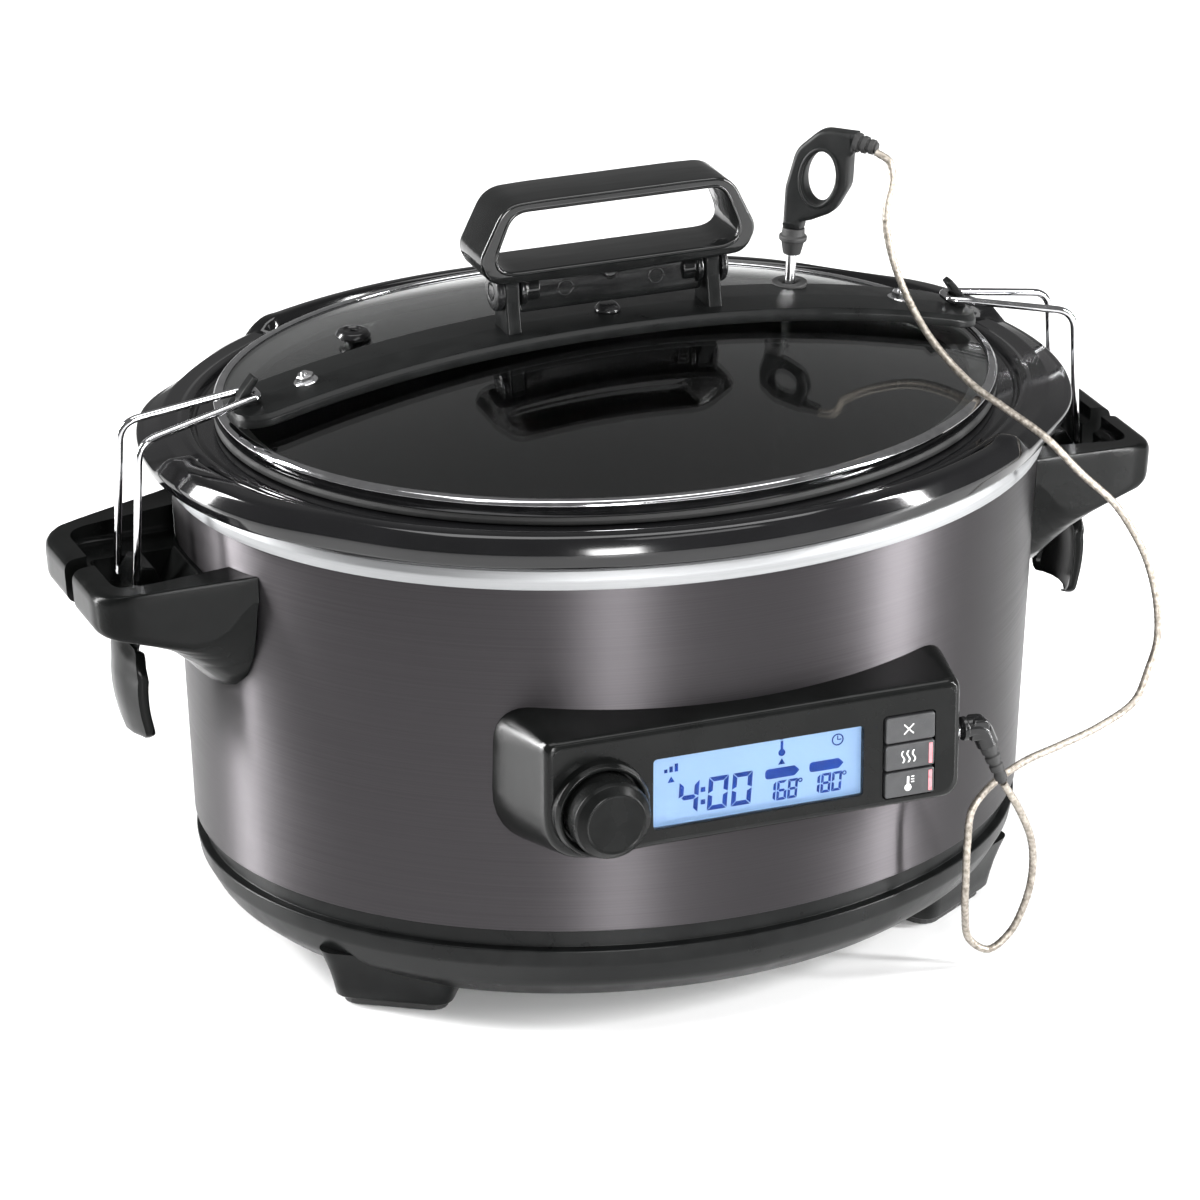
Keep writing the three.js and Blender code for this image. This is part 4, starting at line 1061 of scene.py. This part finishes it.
# ---- control panel ------------------------------------------------------------------------------
PANEL_FRONT = -0.143
KNOB = Vector((-0.0635, 0, 0.107))
SHAFT_ROOM = 0.0036  # radius of the face's hole for the dial's shaft
PANEL_FLARE = 0.13 / 0.043  # outward growth for each metre of depth, as a share of the panel's size


def panel_outline(inset=0.0, depth=0.0):
    """The panel's outline, whose lower left corner goes round the dial, and whose other corners get
    rounder as the depth behind the face goes from 0 to 1."""
    i = inset
    return fillet([
        (-0.0845 + i, 0.135 - i, 0.0045 + 0.0085 * depth), (0.082 - i, 0.135 - i, 0.0050 + 0.0085 * depth),
        (0.082 - i, 0.087 + i, 0.0070 + 0.0040 * depth), (-0.040, 0.0866 + i, 0.03),
        (-0.0845 + i, 0.0855 + i, 0.0200)
    ], 8)


def make_bezel():
    rows = []
    stages = [(0.0030, 0.0), (0.0016, 0.0003), (0.0006, 0.0012), (0.0, 0.0030)]
    stages += [(0.0, 0.0030 + 0.035 * k / 12) for k in range(1, 13)]
    inner = [(0.003, 0.038), (0.003, 0.0030), (0.003, 0.0022)]
    centre_x, centre_z = -0.001, 0.111
    for inset, depth in stages + inner:
        grow = PANEL_FLARE * max(depth - 0.003, 0)
        share = min(max((depth - 0.0030) / 0.030, 0), 1) if inset < 0.003 else 0
        rows.append([(
            centre_x + (u - centre_x) * (1 + grow), PANEL_FRONT + depth,
            centre_z + (v - centre_z) * (1 + 2 * grow)
        ) for u, v in panel_outline(inset, share)])
    hood = skin("hood", rows, wrap=True, sharp=math.radians(26))
    screen_low, screen_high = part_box("lcd_lens")
    keys_low, keys_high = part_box("key_lower")[0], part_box("key_upper")[1]
    holes = [
        front_box(screen_low, screen_high, 0.0004, 0.0016), front_box(keys_low, keys_high, 0.0006, 0.0020)
    ]
    holes.append([(KNOB.x + SHAFT_ROOM * math.cos(a), KNOB.z + SHAFT_ROOM * math.sin(a)) for a in turns(24)])
    face = plate("face", [panel_outline(0.0026), *holes], PANEL_FRONT - 0.0001, PANEL_FRONT + 0.003, 0.0003)
    seat = (
        (15.7, -0.2, 0.2), (19.0, -0.2, 0.2), (18.7, 3.4, 1.0), (17.7, 5.6, 0.9), (16.5, 5.3, 0.6),
        (15.9, 3.4, 0.4), (15.7, 0.6, 0.2)
    )
    place = (KNOB.x, PANEL_FRONT, KNOB.z)
    seat = turned("seat", seat, place, (0, -1, 0), 96, 4, True, math.radians(50))
    bezel = merge("panel_bezel", hood, face, seat)
    flat_normals(bezel)
    piece(bezel, "base", ["control_bezel"], "gloss_black", panel_black)

    lens = front_box(screen_low, screen_high, 0, 0.0012)
    lens = plate("display_window", [lens], PANEL_FRONT + 0.0006, PANEL_FRONT + 0.0020, 0.0004)
    piece(lens, "base", ["lcd_lens"], "clear_glass", window_clear)


panel_black = material(
    "panel_black", (0.0030, 0.0032, 0.0031), (0.0050, 0.0053, 0.0052), (0.15, 0.21), scale=60, bump=0.08,
    bump_scale=1300, Specular_IOR_Level=0.14
)

# Each digit's lit segments: top, upper left, upper right, middle, lower left, lower right, bottom.
DIGITS = {"0": "1110111", "1": "0010010", "4": "0111010", "6": "1101111", "8": "1111111"}


def digit_parts(character, x, z, width, height, stroke):
    """The bars of one seven-segment digit, from its lower left corner, as outlines."""
    gap, lean, half = stroke * 0.12, 0.07, stroke / 2
    right, waist, top = x + width, z + height / 2, z + height

    def level(at, way):
        """The top or bottom bar, whose ends are mitred."""
        outer, inner = at + way * half, at - way * half
        a, b = x - half + gap, right + half - gap
        return [(a, outer), (b, outer), (b - stroke, inner), (a + stroke, inner)]

    def upright(at, way, end, side):
        """A side bar that goes from the waist up or down to the end."""
        outer, inner = at + way * half, at - way * half
        far, near = end + side * (half - gap), waist + side * gap
        return [(outer, near), (inner, near + side * half), (inner, far - side * stroke), (outer, far)]

    bars = [level(top, 1), upright(x, -1, top, 1), upright(right, 1, top, 1), [
        (x + gap, waist), (x + half + gap, waist + half), (right - half - gap, waist + half),
        (right - gap, waist), (right - half - gap, waist - half), (x + half + gap, waist - half)
    ], upright(x, -1, z, -1), upright(right, 1, z, -1), level(z, -1)]
    lit = [bar for bar, on in zip(bars, DIGITS[character]) if on == "1"]
    return [[(u + (v - z) * lean, v) for u, v in bar] for bar in lit]


def ring_outlines(x, z, radius, thick, count=20):
    """The outer and inner outlines of a ring."""
    return [
        [(x + r * math.cos(a), z + r * math.sin(a)) for a in turns(count)] for r in (radius, radius - thick)
    ]


def box_outline(x, z, width, height):
    return [(x, z), (x + width, z), (x + width, z + height), (x, z + height)]


def thin_plate(outlines, front, thick):
    """A printed mark, standing a little proud of the face behind it."""
    return plate("mark", outlines, front, front + thick, thick * 0.2, steps=1)


def make_display():
    low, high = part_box("lcd_lens")
    left, bottom = low.x, low.z
    shapes = []
    for character, x in (("4", 11.3), ("0", 23.0), ("0", 32.6)):
        shapes += [
            [o] for o in digit_parts(character, left + x * MM, bottom + 3.4 * MM, 0.0061, 0.0114, 0.0018)
        ]
    for z in (5.4, 10.4):
        shapes.append([box_outline(left + 19.6 * MM, bottom + z * MM, 0.0018, 0.0019)])
    for start, text in ((46.0, "168"), (63.8, "180")):
        for k, character in enumerate(text):
            x = left + (start + 4.4 * k) * MM
            shapes += [[o] for o in digit_parts(character, x, bottom + 2.4 * MM, 0.0029, 0.0068, 0.0010)]
        shapes.append(ring_outlines(left + (start + 13.6) * MM, bottom + 8.7 * MM, 0.0009, 0.00045))
        a, z = left + (start - 0.6) * MM, bottom + 11.0 * MM
        shapes.append([fillet([
            (a, z, 0.0015), (a + 0.0118, z, 0.0004), (a + 0.0138, z + 0.0020, 0.0003),
            (a + 0.0118, z + 0.0040, 0.0004), (a, z + 0.0040, 0.0015)
        ], 4)])
    for x in (6.4, 50.6):
        a, z = left + x * MM, bottom + 16.3 * MM
        shapes.append([[(a, z), (a + 0.0028, z), (a + 0.0014, z + 0.0024)]])
    for k in range(3):
        shapes.append([box_outline(
            left + (5.0 + 2.1 * k) * MM, bottom + 20.4 * MM, 0.0013, (1.4 + 0.9 * k) * MM
        )])
    stem_x, stem_z = left + 52.0 * MM, bottom + 20.6 * MM
    shapes.append([ring_outlines(stem_x, stem_z + 0.0004, 0.0014, 0.0007)[0]])
    shapes.append([box_outline(stem_x - 0.0005, stem_z + 0.0017, 0.0010, 0.0034)])
    clock_x, clock_z = left + 74.5 * MM, bottom + 22.6 * MM
    shapes.append(ring_outlines(clock_x, clock_z, 0.0024, 0.0005, 28))
    shapes.append([box_outline(clock_x - 0.0002, clock_z - 0.0002, 0.0004, 0.0018)])
    shapes.append([box_outline(clock_x + 0.0003, clock_z - 0.0002, 0.0012, 0.0004)])
    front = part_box("lcd_panel")[0].y - 0.0002
    parts = [thin_plate(outlines, front, 0.00015) for outlines in shapes]
    digits = merge("display_segments", *parts)
    piece(digits, "base", [], "lit_display", digit_ink)


def make_keys():
    for index, key in enumerate(("upper", "middle", "lower")):
        low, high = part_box(f"key_{key}")
        body = f"{key}_key"
        outline = front_box(low, high, 0, 0.0012, 5)
        cap = plate(f"key_cap_{key}", [outline], low.y, high.y, 0.0007, steps=4)
        piece(cap, body, [f"key_{key}"], "black_plastic", key_grey)
        x, z = (low.x + high.x) / 2 - 0.0008, (low.z + high.z) / 2
        if index == 0:
            arm, half = 0.0021, 0.00033
            shapes = [
                [[
                    (x - arm, z - arm + half), (x - arm + half, z - arm), (x + arm, z + arm - half),
                    (x + arm - half, z + arm)
                ]],
                [[
                    (x + arm - half, z - arm), (x + arm, z - arm + half), (x - arm + half, z + arm),
                    (x - arm, z + arm - half)
                ]]
            ]
        elif index == 1:
            shapes = []
            for k in (-1, 0, 1):
                centre = x + k * 0.0022
                wave = [
                    (centre + 0.00055 * math.sin(TAU * t / 12), z - 0.0024 + 0.0048 * t / 12)
                    for t in range(13)
                ]
                near = [(u - 0.0003, v) for u, v in wave]
                far = [(u + 0.0003, v) for u, v in reversed(wave)]
                shapes.append([near + far])
        else:
            shapes = [
                [ring_outlines(x, z - 0.0016, 0.0014, 0.0007)[0]],
                [box_outline(x - 0.00045, z - 0.0003, 0.0009, 0.0032)]
            ]
            shapes += [[box_outline(x + 0.0013, z + 0.0003 + k * 0.0011, 0.0012, 0.0004)] for k in range(3)]
        marks = merge(f"key_icon_{key}", *[thin_plate(o, low.y - 0.00012, 0.0002) for o in shapes])
        piece(marks, body, [], "black_plastic", icon_ink)
        if index:
            strip = rounded_box(
                (high.x - 0.0025, low.z + 0.0010), (high.x - 0.0010, high.z - 0.0010), 0.0003, 3
            )
            strip = plate(f"key_lamp_{key}", [strip], low.y - 0.00015, low.y + 0.0004, 0.0001, steps=1)
            piece(strip, body, [], "lit_display", indicator_red)


key_grey = material(
    "key_grey", (0.022, 0.0225, 0.024), (0.031, 0.0315, 0.033), (0.36, 0.48), scale=200, bump=0.4,
    bump_scale=1700
)


def make_knob():
    low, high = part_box("knob")
    radius = (high.x - low.x) / 2 + 0.0011
    deep = high.y - low.y + 0.0034
    profile = fillet([
        (0, -0.0003, 0), (radius - 0.0044, -0.0002, 0.0006), (radius - 0.0036, 0.0001, 0.0003),
        (radius - 0.0032, -0.0001, 0.0003), (radius - 0.0007, -0.0024, 0.0008), (radius, -0.0040, 0.0010),
        (radius, -deep + 0.0006, 0.0005), (radius - 0.0006, -deep, 0.0003), (0.0034, -deep, 0.0002),
        (0.0034, -deep + 0.008, 0.0002), (0, -deep + 0.008, 0)
    ], 5, False)
    knob = lathe(
        "dial_knob", profile, ((low.x + high.x) / 2, low.y, (low.z + high.z) / 2), (0, -1, 0), 128,
        math.radians(25)
    )
    piece(knob, "dial", ["knob"], "black_plastic", knob_black)


knob_black = material(
    "knob_black", (0.0036, 0.0038, 0.0037), (0.0060, 0.0063, 0.0062), (0.22, 0.30), scale=120, bump=0.1,
    bump_scale=1500, Specular_IOR_Level=0.09
)
make_bezel()
make_display()
make_keys()
make_knob()

# ---- temperature probe --------------------------------------------------------------------------
PROBE_X, PROBE_Y = 0.0815, 0.022
PROBE_AXIS = Matrix.Translation((PROBE_X, PROBE_Y, bar_z(PROBE_X))) @ Matrix.Rotation(math.radians(4), 4, "Y")
PROBE_GRIP = PROBE_AXIS @ Matrix.Rotation(math.radians(-46), 4, "Z")


def placed(made, matrix):
    made.data.transform(matrix)
    return made


def ribbed(name, start, end, low_radius, high_radius, ribs):
    """A strain relief that tapers from start to end with raised ribs."""
    start, end = Vector(start), Vector(end)
    length = (end - start).length
    profile = [(0, 0), (low_radius, 0)]
    for k in range(ribs):
        t0, t1 = (k + 0.12) / ribs, (k + 0.66) / ribs
        r = mix(low_radius, high_radius, t0)
        profile += [
            (r, length * t0), (r * 0.97, length * t1), (r * 0.76, length * (t1 + 0.06 / ribs)),
            (r * 0.76, length * (k + 0.98) / ribs)
        ]
    profile += [(high_radius * 0.8, length), (0, length)]
    return lathe(name, profile, start, end - start, 36)


def make_probe():
    shaft = ((0, -118, 0), (0.5, -117.8, 0.2), (2, -112.6, 1), (2, -70, 0), (2, 19, 0.2), (0, 19, 0))
    shaft = turned("probe_needle", shaft, (0, 0, 0), sides=32, steps=4)
    piece(placed(shaft, PROBE_AXIS), "probe", ["probe_shaft"], "bright_steel")

    boot = (
        (2.3, 12, 0.2), (3.4, 12, 0.5), (4.5, 17.2, 0.3), (5.4, 17.6, 0.8), (5.5, 19.4, 0.8),
        (4.5, 20.0, 0.3), (4.3, 22.7, 0.3), (2.3, 22.7, 0.2)
    )
    boot = turned("probe_collar", boot, (0, 0, 0), sides=40, steps=4, closed=True)
    piece(placed(boot, PROBE_AXIS), "probe", ["probe_boot"], "black_rubber")

    outline = fillet(mm(
        (-3.7, 23, 0.3), (-3.9, 39, 14), (-0.6, 54.8, 12), (9, 64.6, 9), (23.4, 65.4, 0.5), (23.4, 57.6, 2.0),
        (22.0, 56.0, 2.0), (22.2, 44.0, 10), (16.6, 32.4, 10), (7.8, 27.6, 3.5), (3.9, 26.2, 1.0),
        (3.7, 23, 0.3)
    ), 8)

    def hole(grow):
        """The finger hole's leaning oval, grown outwards."""
        wide, tall = 0.0064 + grow, 0.0103 + grow
        return [
            (0.0100 + wide * math.cos(a) + 0.0008 * math.sin(a), 0.0453 + tall * math.sin(a))
            for a in turns(48)
        ]

    rim = hole(0.0013)
    slab = plate("slab", [outline, hole(0)], -0.0037, 0.0037, 0.0019, steps=5)
    lips = [tube("lip", [(u, y, v) for u, v in [*rim, *rim[:2]]], 0.0008, 10) for y in (-0.0035, 0.0035)]
    grip = placed(merge("probe_grip", slab, *lips), PROBE_GRIP)
    piece(grip, "probe", ["probe_handle"], "black_rubber", probe_black)

    relief = ribbed("probe_strain_relief", mm((22.6, 0, 61.4))[0], mm((31.6, 0, 60.4))[0], 0.0040, 0.0026, 3)
    piece(placed(relief, PROBE_GRIP), "probe", ["probe_relief"], "black_rubber")


def make_plug():
    y = middle("plug_body").y
    path = rounded_path(mm((85.9, 0, 110), (93.6, 0, 110.2), (96.9, 0, 102.4)), 0.005, 8)
    elbow = tube("elbow", [(p.x, y, p.z) for p in path], 0.0042, 32)
    nose = ((0, 0, 0), (4.5, 0, 0.6), (4.7, 2.2, 0.6), (0, 2.2, 0))
    nose = turned("nose", nose, (0.0858, y, 0.110), (1, 0, 0), 32)
    block = plate(
        "block", [fillet(mm((88.5, 105.6, 1), (95.5, 105.2, 2), (97.0, 113.5, 3), (89.5, 114.1, 1.5)), 4)],
        y - 0.0038, y + 0.0038, 0.001
    )
    plug = merge("plug_moulding", elbow, nose, block)
    flat_normals(plug)
    piece(plug, "probe", ["plug_body"], "gloss_black")
    start, end = (0.0973, y, 0.1012), CABLE_ROUTE[-1]
    end = Vector(end) + (Vector(start) - Vector(end)).normalized() * 0.0005
    piece(
        ribbed("plug_strain_relief", start, end, 0.0034, 0.0022, 4), "probe", ["plug_relief"], "black_rubber"
    )
    jack = (
        (1.6, -3, 0.1), (3.2, -3, 0.1), (3.2, 2.6, 0.2), (3.6, 3.0, 0.2), (3.3, 3.3, 0.2), (1.6, 3.3, 0.2)
    )
    piece(
        turned("jack_sleeve", jack, middle("probe_jack"), (1, 0, 0), 32, 2, True), "base", ["probe_jack"],
        "bright_steel"
    )


probe_black = material(
    "probe_black", (0.007, 0.0075, 0.0075), (0.011, 0.0115, 0.0115), (0.42, 0.52), scale=150, bump=0.25,
    bump_scale=1700, Specular_IOR_Level=0.20
)
make_probe()
make_plug()

# ---- nodes that keep their CAD shape ------------------------------------------------------------
for node, slot in (
    *((f"foot_pad_{end}_{side}", "black_rubber") for end in ("front", "rear") for side in ("left", "right")),
    ("heating_band", "liner_aluminium"), ("temperature_sensor", "liner_aluminium"),
    ("sensor_spring_cup", "bright_steel"), ("power_board", "circuit_board"), ("power_relay", "gloss_black"),
    ("lcd_panel", "lit_display"), ("control_board", "circuit_board"), ("rotary_encoder", "bright_steel"),
    ("encoder_shaft", "liner_aluminium")
):
    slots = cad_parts[node].data.materials
    slots.clear()
    slots.append(FINISH[slot])


# ---- floor --------------------------------------------------------------------------------------
def make_floor():
    half = 6.0
    floor = mesh_object(
        "floor",
        [(-half, -half, -0.0005), (half, -half, -0.0005), (half, half, -0.0005), (-half, half, -0.0005)],
        [(0, 1, 2, 3)]
    )
    floor.data.materials.append(material(
        "pale_floor", (0.93, 0.93, 0.93), (0.95, 0.95, 0.95), (0.30, 0.36), scale=3, bump=0.02, bump_scale=200
    ))


make_floor()
make_studio()
